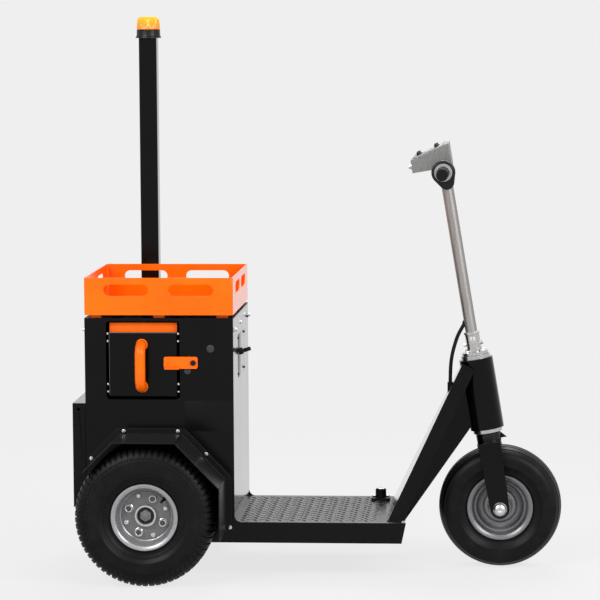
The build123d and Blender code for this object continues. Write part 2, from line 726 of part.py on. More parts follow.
# Wheels: pressed steel rims and their tyres, turned about the axles
def rim_profile(width, disc_y, hub_in, hub_out, bore):
    """Outline (radius, y) of a rim with its disc and hub; the outer face looks to -y."""
    half = width / 2
    well = RIM_SEAT_R - RIM_SHEET
    return [
        (RIM_FLANGE_R, -half), (RIM_FLANGE_R, RIM_SHEET - half), (RIM_SEAT_R, RIM_SHEET - half),
        (RIM_SEAT_R, half - RIM_SHEET), (RIM_FLANGE_R, half - RIM_SHEET), (RIM_FLANGE_R, half),
        (well, half), (well, disc_y + RIM_SHEET), (HUB_R, disc_y + RIM_SHEET), (HUB_R, hub_in),
        (bore, hub_in), (bore, hub_out), (HUB_R, hub_out), (HUB_R, disc_y), (well, disc_y), (well, -half),
    ]


def tyre_profile(radius, width, rim_width, bulge_r, shoulder, tread_half):
    """Outline (radius, y) of a tyre from its beads over the sidewalls to the tread."""
    bead_y = rim_width / 2 - RIM_SHEET - FIT
    shoulder_r, shoulder_in = shoulder
    return mirrored([
        (RIM_SEAT_R + FIT, -bead_y), (RIM_FLANGE_R + RIM_SHEET, -bead_y), (bulge_r, -width / 2),
        (shoulder_r, shoulder_in - width / 2), (radius, -tread_half),
    ])


REAR_RIM = rim_profile(REAR_RIM_W, -REAR_DISC, HUB_IN, -REAR_DISC - HUB_OUT, SHAFT_R + FIT)
FRONT_RIM = rim_profile(FRONT_RIM_W, -FRONT_DISC, LEG_Y - HUB_END_GAP, HUB_END_GAP - LEG_Y, AXLE_R + FIT)
REAR_TYRE = tyre_profile(REAR_TYRE_R, REAR_TYRE_W, REAR_RIM_W, REAR_BULGE_R, REAR_SHOULDER, REAR_TREAD_HALF)
FRONT_TYRE = tyre_profile(FRONT_TYRE_R, FRONT_TYRE_W, FRONT_RIM_W, FRONT_BULGE_R, FRONT_SHOULDER, FRONT_TREAD_HALF)
WHEELS = (
    ("rear_rim_right", REAR_RIM, REAR_X, -WHEEL_Y, REAR_TYRE_R, 1),
    ("rear_rim_left", REAR_RIM, REAR_X, WHEEL_Y, REAR_TYRE_R, -1),
    ("front_rim", FRONT_RIM, FRONT_X, 0, FRONT_TYRE_R, 1),
    ("rear_tyre_right", REAR_TYRE, REAR_X, -WHEEL_Y, REAR_TYRE_R, 1),
    ("rear_tyre_left", REAR_TYRE, REAR_X, WHEEL_Y, REAR_TYRE_R, -1),
    ("front_tyre", FRONT_TYRE, FRONT_X, 0, FRONT_TYRE_R, 1),
)
for name, profile, x, y, z, hand in WHEELS:
    with BuildPart() as turned:
        with BuildSketch(Plane(origin=(x, y, z), x_dir=(1, 0, 0), z_dir=(0, 0, hand))):
            Polygon(*profile, align=None)
        revolve(axis=Axis((x, y, z), (0, 1, 0)))
    save(turned, name)

# Foot switch on the deck, key switch on the front panel
with BuildPart() as foot_switch_base:
    with BuildSketch(Plane.XY.offset(DECK_TOP)):
        with Locations((DECK_FRONT - SWITCH_BACK, SWITCH_Y)):
            RectangleRounded(SWITCH_BASE, SWITCH_BASE, SWITCH_BASE_H)
    extrude(amount=SWITCH_BASE_H)
save(foot_switch_base, "foot_switch_base")

with BuildPart() as foot_switch_button:
    with BuildSketch(Plane.XY.offset(DECK_TOP + SWITCH_BASE_H)):
        with Locations((DECK_FRONT - SWITCH_BACK, SWITCH_Y)):
            Circle(SWITCH_R)
    extrude(amount=SWITCH_H)
    fillet(foot_switch_button.edges().sort_by(Axis.Z)[-1], SWITCH_R / 4)
save(foot_switch_button, "foot_switch_button")

with BuildPart() as key_switch:
    with BuildSketch(Plane(origin=(BODY_FRONT, KEY_Y, BODY_TOP - KEY_DROP), x_dir=(0, 1, 0), z_dir=(1, 0, 0))):
        Circle(KEY_R)
    extrude(amount=KEY_H)
save(key_switch, "key_switch")

# Cable: a lead from the steering tube down to the collar on the neck, in straight runs and arcs
CABLE_FOOT = Vector(GLAND_FOOT.X, 0, GLAND_FOOT.Z + GLAND_H)
CABLE_ROUTE = [CABLE_FOOT + Vector(x, 0, z) for x, z in CABLE_STEPS]
CABLE_RADII = []
for before, corner, after in zip(CABLE_ROUTE, CABLE_ROUTE[1:], CABLE_ROUTE[2:]):
    turn = (corner - before).get_angle(after - corner)
    run = min((corner - before).length, (after - corner).length)
    CABLE_RADII.append(CABLE_BEND_SHARE * run / tan(radians(turn) / 2))
with BuildPart() as cable:
    with BuildLine() as lead:
        FilletPolyline(*CABLE_ROUTE, radius=CABLE_RADII)
    with BuildSketch(Plane(origin=lead.line @ 0, z_dir=lead.line % 0)):
        Circle(CABLE_R)
    sweep()
save(cable, "cable")
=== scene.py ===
import json
from math import acos, cos, pi, radians, sin

import bmesh
import bpy
from mathutils import Matrix, Vector


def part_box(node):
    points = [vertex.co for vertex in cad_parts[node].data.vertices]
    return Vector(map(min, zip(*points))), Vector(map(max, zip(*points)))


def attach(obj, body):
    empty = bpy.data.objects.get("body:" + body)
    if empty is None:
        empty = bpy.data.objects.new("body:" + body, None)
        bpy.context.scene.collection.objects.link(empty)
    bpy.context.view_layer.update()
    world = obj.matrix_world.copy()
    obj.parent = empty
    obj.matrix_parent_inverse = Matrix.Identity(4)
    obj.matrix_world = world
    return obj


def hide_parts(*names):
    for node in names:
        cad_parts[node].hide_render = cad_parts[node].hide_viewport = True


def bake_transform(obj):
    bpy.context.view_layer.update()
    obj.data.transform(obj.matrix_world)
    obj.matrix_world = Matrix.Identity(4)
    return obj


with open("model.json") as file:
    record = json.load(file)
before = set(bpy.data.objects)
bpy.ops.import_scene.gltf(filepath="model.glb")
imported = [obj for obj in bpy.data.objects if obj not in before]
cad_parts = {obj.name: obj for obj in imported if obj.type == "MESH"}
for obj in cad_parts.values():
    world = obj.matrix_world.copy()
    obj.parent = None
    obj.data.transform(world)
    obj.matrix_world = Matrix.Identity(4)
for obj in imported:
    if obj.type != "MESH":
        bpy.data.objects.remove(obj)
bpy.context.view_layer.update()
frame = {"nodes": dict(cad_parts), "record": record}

# Studio: a pale seamless floor and background, soft boxes round the tractor, and a long lens
# that looks at the right side from a little above the handlebar.
PALE = (0.863, 0.863, 0.863, 1)
SURROUND = 0.38
FLOOR_HALF = 30.0
FLOOR_PAPER = (0.8, 0.8, 0.8, 1)
FLOOR_SHADE = 0.12
FLOOR_FADE = (0.9, 2.6)
CAMERA_PLACE = Vector((0.5381, -7.6976, 1.5029))
CAMERA_YAW = radians(4.31)
CAMERA_PITCH = radians(5.72)
CAMERA_ROLL = radians(-0.35)
CAMERA_LENS, CAMERA_SENSOR = 170.17, 36
SOFT_BOX_AIM = Vector((0, 0, 0.6))
SOFT_BOXES = (  # place, size, watts
    ((-3.2, -4.2, 4.2), 3.0, 240),
    ((3.6, -3.4, 3.4), 3.0, 200),
    ((0.4, 3.6, 4.6), 3.4, 200),
)


def add_node(tree, kind, values=None, wires=None, **settings):
    """A shader node with its settings, the values of its sockets and wires from other sockets."""
    node = tree.nodes.new(kind)
    for name, value in settings.items():
        setattr(node, name, value)
    for socket, value in (values or {}).items():
        node.inputs[socket].default_value = value
    for socket, source in (wires or {}).items():
        tree.links.new(source, node.inputs[socket])
    return node


def camera_sees(tree):
    """One where the camera, a reflection or clear plastic looks straight at a surface, else zero."""
    rays = add_node(tree, "ShaderNodeLightPath").outputs
    seen = rays["Is Camera Ray"]
    for other in ("Is Glossy Ray", "Is Transmission Ray"):
        either = add_node(tree, "ShaderNodeMath", wires={0: seen, 1: rays[other]}, operation="MAXIMUM")
        seen = either.outputs[0]
    return seen


world = bpy.data.worlds.new("studio")
world.use_nodes = True
tree = world.node_tree
tree.nodes.clear()
light = add_node(tree, "ShaderNodeBackground", {"Color": (1, 1, 1, 1), "Strength": SURROUND}).outputs[0]
backdrop = add_node(tree, "ShaderNodeBackground", {"Color": PALE, "Strength": 1}).outputs[0]
choose = add_node(tree, "ShaderNodeMixShader", wires={"Fac": camera_sees(tree), 1: light, 2: backdrop})
add_node(tree, "ShaderNodeOutputWorld", wires={"Surface": choose.outputs[0]})
bpy.context.scene.world = world

floor_paper = bpy.data.materials.new("floor_paper")
floor_paper.use_nodes = True
tree = floor_paper.node_tree
tree.nodes.clear()
matte = add_node(tree, "ShaderNodeBsdfDiffuse", {"Color": FLOOR_PAPER}).outputs[0]
glow = add_node(tree, "ShaderNodeEmission", {"Color": PALE, "Strength": 1}).outputs[0]
place = add_node(tree, "ShaderNodeTexCoord").outputs["Object"]
reach = add_node(tree, "ShaderNodeVectorMath", wires={0: place}, operation="LENGTH")
fade = add_node(
    tree, "ShaderNodeMapRange",
    {"From Min": FLOOR_FADE[0], "From Max": FLOOR_FADE[1], "To Min": 1 - FLOOR_SHADE},
    {"Value": reach.outputs["Value"]},
)
share = add_node(
    tree, "ShaderNodeMath", wires={0: camera_sees(tree), 1: fade.outputs["Result"]}, operation="MULTIPLY"
)
paper = add_node(tree, "ShaderNodeMixShader", wires={"Fac": share.outputs[0], 1: matte, 2: glow})
add_node(tree, "ShaderNodeOutputMaterial", wires={"Surface": paper.outputs[0]})

bm = bmesh.new()
bmesh.ops.create_grid(bm, x_segments=1, y_segments=1, size=FLOOR_HALF)
mesh = bpy.data.meshes.new("floor")
bm.to_mesh(mesh)
bm.free()
mesh.materials.append(floor_paper)
floor = bpy.data.objects.new("floor", mesh)
bpy.context.collection.objects.link(floor)

for place, size, watts in SOFT_BOXES:
    lamp = bpy.data.lights.new("soft_box", "AREA")
    lamp.shape = "DISK"
    lamp.size = size
    lamp.energy = watts
    box = bpy.data.objects.new("soft_box", lamp)
    box.location = place
    box.rotation_euler = (SOFT_BOX_AIM - Vector(place)).to_track_quat("-Z", "Y").to_euler()
    bpy.context.collection.objects.link(box)

forward = Vector((
    -sin(CAMERA_YAW) * cos(CAMERA_PITCH), cos(CAMERA_YAW) * cos(CAMERA_PITCH), -sin(CAMERA_PITCH)
))
right = Vector((cos(CAMERA_YAW), sin(CAMERA_YAW), 0))
up = right.cross(forward)
tilted_right = right * cos(CAMERA_ROLL) + up * sin(CAMERA_ROLL)
tilted_up = up * cos(CAMERA_ROLL) - right * sin(CAMERA_ROLL)
lens = bpy.data.cameras.new("camera")
lens.lens = CAMERA_LENS
lens.sensor_width = CAMERA_SENSOR
camera = bpy.data.objects.new("camera", lens)
turn = Matrix((tilted_right, tilted_up, -forward)).transposed()
camera.matrix_world = Matrix.Translation(CAMERA_PLACE) @ turn.to_4x4()
bpy.context.collection.objects.link(camera)
bpy.context.scene.camera = camera
bpy.context.scene.view_settings.view_transform = "Standard"

# Body shell: folded steel sheet, welded and powder-coated black with a fine satin grain. Blank plugs
# close two spare holes in the right side, and a bare foil plate lies under the latch.
BLACK = (0.0020, 0.0019, 0.0020)
LACQUER_IOR, LACQUER_ROUGHNESS = 1.16, 0.12
CLOUD_SCALE, CLOUD_DETAIL, CLOUD_DARK, CLOUD_PALE, CLOUD_GLOSS = 9, 5, 0.86, 1.1, 0.06
PEEL_SCALE, PEEL_DETAIL, PEEL_DEPTH = 520, 2, 0.0004
TONE_ENDS = (0.3, 0.7)
WELD_REACH = 0.00001
FLAT_LIMIT, EDGE_LIMIT = radians(0.5), radians(40)
SHEET_EDGE = 0.0012
NEARLY_ALONG = 0.95


def new_finish(name, values):
    """A material with constant values on its shader's own sockets."""
    finish = bpy.data.materials.new(name)
    finish.use_nodes = True
    for socket, value in values.items():
        finish.node_tree.nodes["Principled BSDF"].inputs[socket].default_value = value
    return finish


def wire_finish(tree, cloud, tones, gloss, grain, strength, depth):
    """Wires a shader's colour and roughness to one noise, between two ends each, and its bumps to another."""
    shader = tree.nodes["Principled BSDF"]
    tone = add_node(tree, "ShaderNodeValToRGB", wires={"Fac": cloud})
    for end, position, colour in zip(tone.color_ramp.elements, TONE_ENDS, tones):
        end.position = position
        end.color = (*colour, 1)
    dull = add_node(tree, "ShaderNodeMapRange", {"To Min": gloss[0], "To Max": gloss[1]}, {"Value": cloud})
    bump = add_node(tree, "ShaderNodeBump", {"Strength": strength, "Distance": depth}, {"Height": grain})
    tree.links.new(tone.outputs["Color"], shader.inputs["Base Color"])
    tree.links.new(dull.outputs["Result"], shader.inputs["Roughness"])
    tree.links.new(bump.outputs["Normal"], shader.inputs["Normal"])


def powder_coat(name, colour, roughness, grain, specular, lacquer=0, dust=0):
    """Powder coat: a flat colour with an even fine grain, cloudy gloss and maybe a clear or dusty layer."""
    paint = new_finish(name, {
        "Specular IOR Level": specular, "Sheen Weight": dust,
        "Coat Weight": lacquer, "Coat IOR": LACQUER_IOR, "Coat Roughness": LACQUER_ROUGHNESS,
    })
    tree = paint.node_tree
    place = {"Vector": add_node(tree, "ShaderNodeTexCoord").outputs["Object"]}
    clouds = add_node(tree, "ShaderNodeTexNoise", {"Scale": CLOUD_SCALE, "Detail": CLOUD_DETAIL}, place)
    peel = add_node(tree, "ShaderNodeTexNoise", {"Scale": PEEL_SCALE, "Detail": PEEL_DETAIL}, place)
    tones = [[min(1, share * c) for c in colour] for share in (CLOUD_DARK, CLOUD_PALE)]
    gloss = (roughness - CLOUD_GLOSS, roughness + CLOUD_GLOSS)
    wire_finish(tree, clouds.outputs["Fac"], tones, gloss, peel.outputs["Fac"], grain, PEEL_DEPTH)
    return paint


def dress(material, *names):
    """Gives CAD nodes a finish."""
    for name in names:
        for place in frame["nodes"][name].material_slots:
            place.material = material


def soften(width, *names, whole_faces=False):
    """Breaks the sharp edges of CAD nodes with a small round, as paint and deburring do."""
    for name in names:
        modifiers = frame["nodes"][name].modifiers
        weld = modifiers.new("joined_corners", "WELD")
        weld.merge_threshold = WELD_REACH
        if whole_faces:
            flat = modifiers.new("whole_faces", "DECIMATE")
            flat.decimate_type = "DISSOLVE"
            flat.angle_limit = FLAT_LIMIT
        edge = modifiers.new("broken_edges", "BEVEL")
        edge.width = width
        edge.segments = 2
        edge.limit_method = "ANGLE"
        edge.angle_limit = EDGE_LIMIT
        edge.harden_normals = True


def add_piece(bm, name, material, body, slot, *replaced, sharp=32):
    """Makes a finished bmesh a piece that rides on a body and may stand for CAD nodes."""
    mesh = bpy.data.meshes.new(name)
    bm.to_mesh(mesh)
    bm.free()
    mesh.shade_smooth()
    mesh.set_sharp_from_angle(angle=radians(sharp))
    mesh.materials.append(material)
    piece = bpy.data.objects.new(name, mesh)
    bpy.context.collection.objects.link(piece)
    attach(piece, body)
    if replaced:
        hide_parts(*replaced)
    return piece


def facing(point, normal):
    """Places a shape on a point with its own z along the normal."""
    turn = Vector((0, 0, 1)).rotation_difference(Vector(normal)).to_matrix()
    return Matrix.Translation(point) @ turn.to_4x4()


def round_top(bm, made, place, offset, segments=2):
    """Rounds the edges of the top face of a shape that was just made on a place."""
    bm.normal_update()
    outward = place.to_3x3() @ Vector((0, 0, 1))
    tops = {f for v in made for f in v.link_faces if f.normal.dot(outward) > NEARLY_ALONG}
    edges = list({e for f in tops for e in f.edges})
    bmesh.ops.bevel(
        bm, geom=edges, offset=offset, segments=segments, profile=0.5, affect="EDGES", material=-1
    )


def add_head(bm, place, radius, height, sides=24, rounding=0.45):
    """A round or hexagon head that stands on a place."""
    made = bmesh.ops.create_cone(
        bm, cap_ends=True, segments=sides, radius1=radius, radius2=radius, depth=height,
        matrix=place @ Matrix.Translation((0, 0, height / 2)),
    )["verts"]
    round_top(bm, made, place, rounding * height)


def add_plate(bm, low, high, rounding):
    """A flat box between two corners with rounded edges."""
    low, high = Vector(low), Vector(high)
    made = bmesh.ops.create_cube(
        bm, size=1, matrix=Matrix.Translation((low + high) / 2) @ Matrix.Diagonal((*(high - low), 1))
    )["verts"]
    edges = list({e for v in made for e in v.link_edges})
    bmesh.ops.bevel(
        bm, geom=edges, offset=rounding, segments=2, profile=0.5, affect="EDGES", material=-1
    )


black_coat = powder_coat("black_coat", BLACK, roughness=0.17, grain=0.02, specular=0.07, lacquer=1)
satin_black = powder_coat("satin_black", BLACK, roughness=0.38, grain=0.03, specular=0.16)
dress(black_coat, "side_panel_right", "side_panel_left", "front_panel", "rear_panel")
dress(black_coat, "rear_box", "battery_shelf")
dress(satin_black, "top_panel")
soften(SHEET_EDGE, "side_panel_right", "side_panel_left", "rear_box")

SIDE_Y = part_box("side_panel_right")[0][1]
BODY_LOW, BODY_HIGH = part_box("top_panel")
BODY_REAR, BODY_FRONT = BODY_LOW[0], BODY_HIGH[0]
BODY_TOP = BODY_HIGH[2]
OUT_RIGHT = Vector((0, -1, 0))
PLUGS = ((0.339, 0.082, 0.0105), (0.277, 0.142, 0.0092))  # from the rear, below the top, radius
PLUG_T = 0.0025
GREY_PLUG = (0.026, 0.025, 0.026)
bm = bmesh.new()
for back, drop, radius in PLUGS:
    add_head(bm, facing((BODY_REAR + back, SIDE_Y, BODY_TOP - drop), OUT_RIGHT), radius, PLUG_T)
plug_plastic = powder_coat("plug_plastic", GREY_PLUG, roughness=0.5, grain=0.05, specular=0.4)
add_piece(bm, "spare_hole_plugs", plug_plastic, "chassis", "black_plastic")

PLATE_REAR, PLATE_FRONT = 0.268, 0.398
PLATE_DROP_TOP, PLATE_DROP_LOW = 0.222, 0.304
PLATE_T, PLATE_EDGE = 0.0006, 0.0002
bm = bmesh.new()
add_plate(
    bm, (BODY_REAR + PLATE_REAR, SIDE_Y - PLATE_T, BODY_TOP - PLATE_DROP_LOW),
    (BODY_REAR + PLATE_FRONT, SIDE_Y, BODY_TOP - PLATE_DROP_TOP), PLATE_EDGE,
)
foil = powder_coat("plate_foil", (0.0030, 0.0030, 0.0032), roughness=0.3, grain=0.02, specular=0.14)
add_piece(bm, "blank_plate", foil, "chassis", "black_paint")

# Access cover on the body's front panel: a thin black sheet held by a small screw in each corner, with the
# drive key in its lock. The tie bolts of the battery frame end in plated stubs above it and on the rear
# panel.
COVER_RIGHT, COVER_LEFT = -0.079, 0.100
COVER_DROP_TOP, COVER_DROP_LOW = 0.060, 0.177
COVER_T, COVER_EDGE = 0.0005, 0.0002
COVER_SCREW_IN, COVER_SCREW_R, COVER_SCREW_T = 0.009, 0.0035, 0.002
AHEAD = Vector((1, 0, 0))
bm = bmesh.new()
add_plate(
    bm, (BODY_FRONT, COVER_RIGHT, BODY_TOP - COVER_DROP_LOW),
    (BODY_FRONT + COVER_T, COVER_LEFT, BODY_TOP - COVER_DROP_TOP), COVER_EDGE,
)
for across in (COVER_RIGHT + COVER_SCREW_IN, COVER_LEFT - COVER_SCREW_IN):
    for drop in (COVER_DROP_TOP + COVER_SCREW_IN, COVER_DROP_LOW - COVER_SCREW_IN):
        seat = (BODY_FRONT + COVER_T, across, BODY_TOP - drop)
        add_head(bm, facing(seat, AHEAD), COVER_SCREW_R, COVER_SCREW_T, rounding=0.5)
add_piece(bm, "access_cover", black_coat, "chassis", "black_paint")

STUB_ACROSS, STUB_DROP = 0.19, 0.033
STUB_R, STUB_LENGTH, SHORT_STUB = 0.0048, 0.009, 0.003
STUB_NUT_R, STUB_NUT_T = 1.7 * STUB_R, 0.4 * STUB_LENGTH
SCRATCH_SCALE, SCRATCH_DETAIL, SCRATCH_DARK = 160, 6, 0.8
SCRATCH_DULL, SCRATCH_SHINE = 0.1, 0.07
SCRATCH_STRENGTH, SCRATCH_DEPTH = 0.06, 0.0003


def plated_steel(name, colour, roughness, streak=(1, 1, 1), metallic=1):
    """Plated or bare steel with fine scratches; streak stretches them along an axis."""
    steel = new_finish(name, {"Metallic": metallic})
    tree = steel.node_tree
    place = add_node(tree, "ShaderNodeTexCoord").outputs["Object"]
    stretch = add_node(tree, "ShaderNodeMapping", {"Scale": streak}, {"Vector": place})
    scratches = add_node(
        tree, "ShaderNodeTexNoise", {"Scale": SCRATCH_SCALE, "Detail": SCRATCH_DETAIL},
        {"Vector": stretch.outputs["Vector"]},
    ).outputs["Fac"]
    tones = ([SCRATCH_DARK * c for c in colour], colour)
    gloss = (roughness - SCRATCH_SHINE, roughness + SCRATCH_DULL)
    wire_finish(tree, scratches, tones, gloss, scratches, SCRATCH_STRENGTH, SCRATCH_DEPTH)
    return steel


def join(bm, other):
    """Puts a second bmesh into the first."""
    carrier = bpy.data.meshes.new("carrier")
    other.to_mesh(carrier)
    other.free()
    bm.from_mesh(carrier)
    bpy.data.meshes.remove(carrier)


zinc = plated_steel("zinc_plate", (0.64, 0.64, 0.65), roughness=0.28)
bm = bmesh.new()
add_head(bm, facing((BODY_FRONT, 0, BODY_TOP - STUB_DROP), AHEAD), STUB_R, SHORT_STUB, rounding=0.5)
for across in (-STUB_ACROSS, STUB_ACROSS):
    for end, outward in ((BODY_FRONT, AHEAD), (BODY_REAR, -AHEAD)):
        seat = Vector((end, across, BODY_TOP - STUB_DROP))
        add_head(bm, facing(seat, outward), STUB_NUT_R, STUB_NUT_T, sides=6, rounding=0.2)
        add_head(bm, facing(seat, outward), STUB_R, STUB_LENGTH, rounding=0.2)
add_piece(bm, "stub_bolts", zinc, "chassis", "bright_steel")
black_plastic = powder_coat("black_plastic", (0.006, 0.006, 0.006), roughness=0.36, grain=0.08, specular=0.22)
dress(black_plastic, "key_switch")

key_low, key_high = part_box("key_switch")
KEY_TILT = radians(18)
KEY_COLLAR_R, KEY_COLLAR_T = 0.0075, 0.004
KEY_BOW_LOW, KEY_BOW_HIGH, KEY_BOW_EDGE = (0.002, -0.0025, -0.0055), (0.024, 0.0025, 0.0055), 0.0018
KEY_FACE = Vector((key_high[0], (key_low[1] + key_high[1]) / 2, (key_low[2] + key_high[2]) / 2))
bm = bmesh.new()
add_head(bm, facing(KEY_FACE, AHEAD), KEY_COLLAR_R, KEY_COLLAR_T)
bow = bmesh.new()
add_plate(bow, KEY_BOW_LOW, KEY_BOW_HIGH, KEY_BOW_EDGE)
bmesh.ops.transform(
    bow, matrix=Matrix.Translation(KEY_FACE) @ Matrix.Rotation(-KEY_TILT, 4, "Y"), verts=bow.verts
)
join(bm, bow)
add_piece(bm, "drive_key", black_plastic, "chassis", "black_plastic")

# Deck: black tread plate with raised bars whose direction alternates from column to column. The bars are
# painted a little lighter than the plate, a painted highlight for the light their crowns catch.
TREAD_COLUMN, TREAD_ROW = 0.0166, 0.032
BAR_HALF = (0.0110, 0.0032, 0.0018)  # length, width, height
TREAD_SLANT, TREAD_SHIFT = 45, 0.25  # degrees, share of a row
TREAD_FRONT, TREAD_EDGE = 0.2, 0.012
SCUFF_SCALE, SCUFF_DETAIL, SCUFF_TWIST = 60, 8, 2.5
SCUFF_LOW, SCUFF_HIGH = 0.35, 0.7
SCUFF_SHINE, SCUFF_DULL = 0.12, 0.15
DECK_LOW, DECK_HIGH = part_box("deck_plate")


def tread_steel(name, colour, roughness):
    """Painted tread plate with fine scuffs that run in every direction."""
    steel = powder_coat(name, colour, roughness=roughness, grain=0.08, specular=0.4)
    tree = steel.node_tree
    scuffs = add_node(
        tree, "ShaderNodeTexNoise", {"Scale": SCUFF_SCALE, "Detail": SCUFF_DETAIL, "Distortion": SCUFF_TWIST},
        {"Vector": tree.nodes["Texture Coordinate"].outputs["Object"]},
    )
    wear = add_node(
        tree, "ShaderNodeMapRange",
        {"From Min": SCUFF_LOW, "From Max": SCUFF_HIGH,
         "To Min": roughness - SCUFF_SHINE, "To Max": roughness + SCUFF_DULL},
        {"Value": scuffs.outputs["Fac"]},
    )
    tree.links.new(wear.outputs["Result"], tree.nodes["Principled BSDF"].inputs["Roughness"])
    return steel


tread_plate = tread_steel("tread_plate", (0.012, 0.012, 0.0125), roughness=0.26)
dress(tread_plate, "deck_plate")
soften(SHEET_EDGE, "deck_plate")
bm = bmesh.new()
columns = int((TREAD_FRONT - BODY_FRONT - 2 * TREAD_EDGE) / TREAD_COLUMN)
rows = int((DECK_HIGH[1] - DECK_LOW[1] - 2 * TREAD_EDGE) / TREAD_ROW)
for column in range(columns):
    slant = Matrix.Rotation(radians(TREAD_SLANT if column % 2 else -TREAD_SLANT), 4, "Z")
    for row in range(rows):
        middle = Vector((
            BODY_FRONT + TREAD_EDGE + (column + 0.5) * TREAD_COLUMN,
            (row - (rows - 1) / 2 + (TREAD_SHIFT if column % 2 else -TREAD_SHIFT)) * TREAD_ROW,
            DECK_HIGH[2],
        ))
        place = Matrix.Translation(middle) @ slant @ Matrix.Diagonal((*BAR_HALF, 1))
        bmesh.ops.create_uvsphere(bm, u_segments=10, v_segments=6, radius=1, matrix=place)
# The bars' lighter colour is a painted highlight for the light their raised crowns catch.
painted_highlight_bars = tread_steel("painted_highlight_bars", (0.056, 0.056, 0.057), roughness=0.26)
add_piece(bm, "deck_tread_bars", painted_highlight_bars, "chassis", "tread_plate", sharp=60)

# Mudguards: bent black sheet over each rear wheel, a little dusty, with a flange that zinc-plated dome bolts
# hold to the body side.
GUARD_BOLTS = (  # ahead of the axle, above it
    (-0.1588, 0.1362), (-0.0702, 0.2109), (0.0759, 0.2109), (0.1518, 0.1494), (0.2142, -0.0487),
)
GUARD_BOLT_R, GUARD_BOLT_T = 0.0056, 0.0035
GUARD_SHEET, GUARD_EDGE = 0.003, 0.0009
REAR_LOW, REAR_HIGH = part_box("rear_tyre_right")
REAR_X = (REAR_LOW[0] + REAR_HIGH[0]) / 2
REAR_Z = (REAR_LOW[2] + REAR_HIGH[2]) / 2
HANDS = (("right", -1), ("left", 1))
guard_coat = powder_coat("guard_coat", BLACK, roughness=0.38, grain=0.03, specular=0.21, dust=0.018)
dress(guard_coat, "mudguard_right", "mudguard_left")
soften(GUARD_EDGE, "mudguard_right", "mudguard_left", whole_faces=True)
for name, hand in HANDS:
    bm = bmesh.new()
    for ahead, above in GUARD_BOLTS:
        seat = (REAR_X + ahead, -hand * (SIDE_Y - GUARD_SHEET), REAR_Z + above)
        add_head(bm, facing(seat, (0, hand, 0)), GUARD_BOLT_R, GUARD_BOLT_T, rounding=0.6)
    add_piece(bm, f"guard_bolts_{name}", zinc, "chassis", "bright_steel")

# Tow jaw and drive: the jaw is bare steel plate that four hexagon bolts hold to the rear box. The axle and
# the motor's cast housing lie inside the body, dark from oil and dust.
JAW_EDGE = 0.0008
JAW_FLANGE = 0.006
JAW_BOLT_ACROSS, JAW_BOLT_IN = 0.02, 0.012
JAW_BOLT_R, JAW_BOLT_T = 0.0075, 0.006
bare_steel = plated_steel("bare_steel", (0.42, 0.41, 0.40), roughness=0.4)
cast_iron = powder_coat("cast_housing", (0.05, 0.05, 0.053), roughness=0.6, grain=0.5, specular=0.4)
dress(bare_steel, "tow_jaw", "rear_axle")
dress(cast_iron, "drive_motor")
soften(JAW_EDGE, "tow_jaw")
jaw_low, jaw_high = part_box("tow_jaw")
jaw_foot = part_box("rear_box")[0][0] - JAW_FLANGE
bm = bmesh.new()
for across in (-JAW_BOLT_ACROSS, JAW_BOLT_ACROSS):
    for height in (jaw_low[2] + JAW_BOLT_IN, jaw_high[2] - JAW_BOLT_IN):
        place = facing((jaw_foot, across, height), -AHEAD)
        add_head(bm, place, JAW_BOLT_R, JAW_BOLT_T, sides=6, rounding=0.2)
add_piece(bm, "jaw_bolts", zinc, "chassis", "bright_steel")

# Rear wheels: block-tread rubber tyres on two-piece pressed rims in silver paint. Four cap nuts and four
# rim screws show on the disc, and the shaft's nut sits deep in the hub's bright ring, on a near-black disc
# that is painted shade in the hub's well.
REAR_R = (REAR_HIGH[2] - REAR_LOW[2]) / 2
WHEEL_Y = -(REAR_LOW[1] + REAR_HIGH[1]) / 2
REAR_CARCASS = (  # radius, distance from the wheel's middle
    (0.0765, 0.0515), (0.0915, 0.0530), (0.0950, 0.0575), (0.0985, 0.0572), (0.1040, 0.0625),
    (0.1085, 0.0655), (0.1089, 0.0664), (0.1101, 0.0671), (0.1105, 0.0667), (0.1150, 0.0695),
    (0.1205, 0.0720), (0.1220, 0.0736), (0.1240, 0.0734), (0.1360, 0.0744), (0.1480, 0.0738),
    (0.1496, 0.0735), (0.1500, 0.0742), (0.1512, 0.0740), (0.1516, 0.0731), (0.1580, 0.0716),
    (0.1670, 0.0688), (0.1738, 0.0625), (0.1790, 0.0530), (0.1816, 0.0420), (0.1828, 0.0250),
    (0.1832, 0.0080),
)
LUG_TOP = (
    (0.1600, 0.0736), (0.1690, 0.0706), (0.1765, 0.0648), (0.1828, 0.0555), (0.1860, 0.0450),
    (0.1866, 0.0340),
)
LUG_ROOT = ((0.1770, 0.0330), (0.1755, 0.0450), (0.1700, 0.0580), (0.1580, 0.0690))
LUG_COUNT = 66
LUG_WIDTH, LUG_EDGE = 0.0118, 0.0008
LUG_ROWS = ((1, 0), (-1, 0.5))  # side of the tyre, start in steps
BLOCK_COUNT = 44
BLOCK_ROWS = ((0.0, 24), (-0.0195, -24), (0.0195, -24))  # distance from the middle, slant in degrees
BLOCK_SIZE, BLOCK_EDGE, BLOCK_UNDER = (0.0205, 0.0155, 0.0090), 0.0012, 0.0004
DUST_SCALE, DUST_DETAIL, DUST_LOW, DUST_HIGH = 26, 8, 0.45, 0.9
DUST_FILM = (0.022, 0.0215, 0.021, 1)
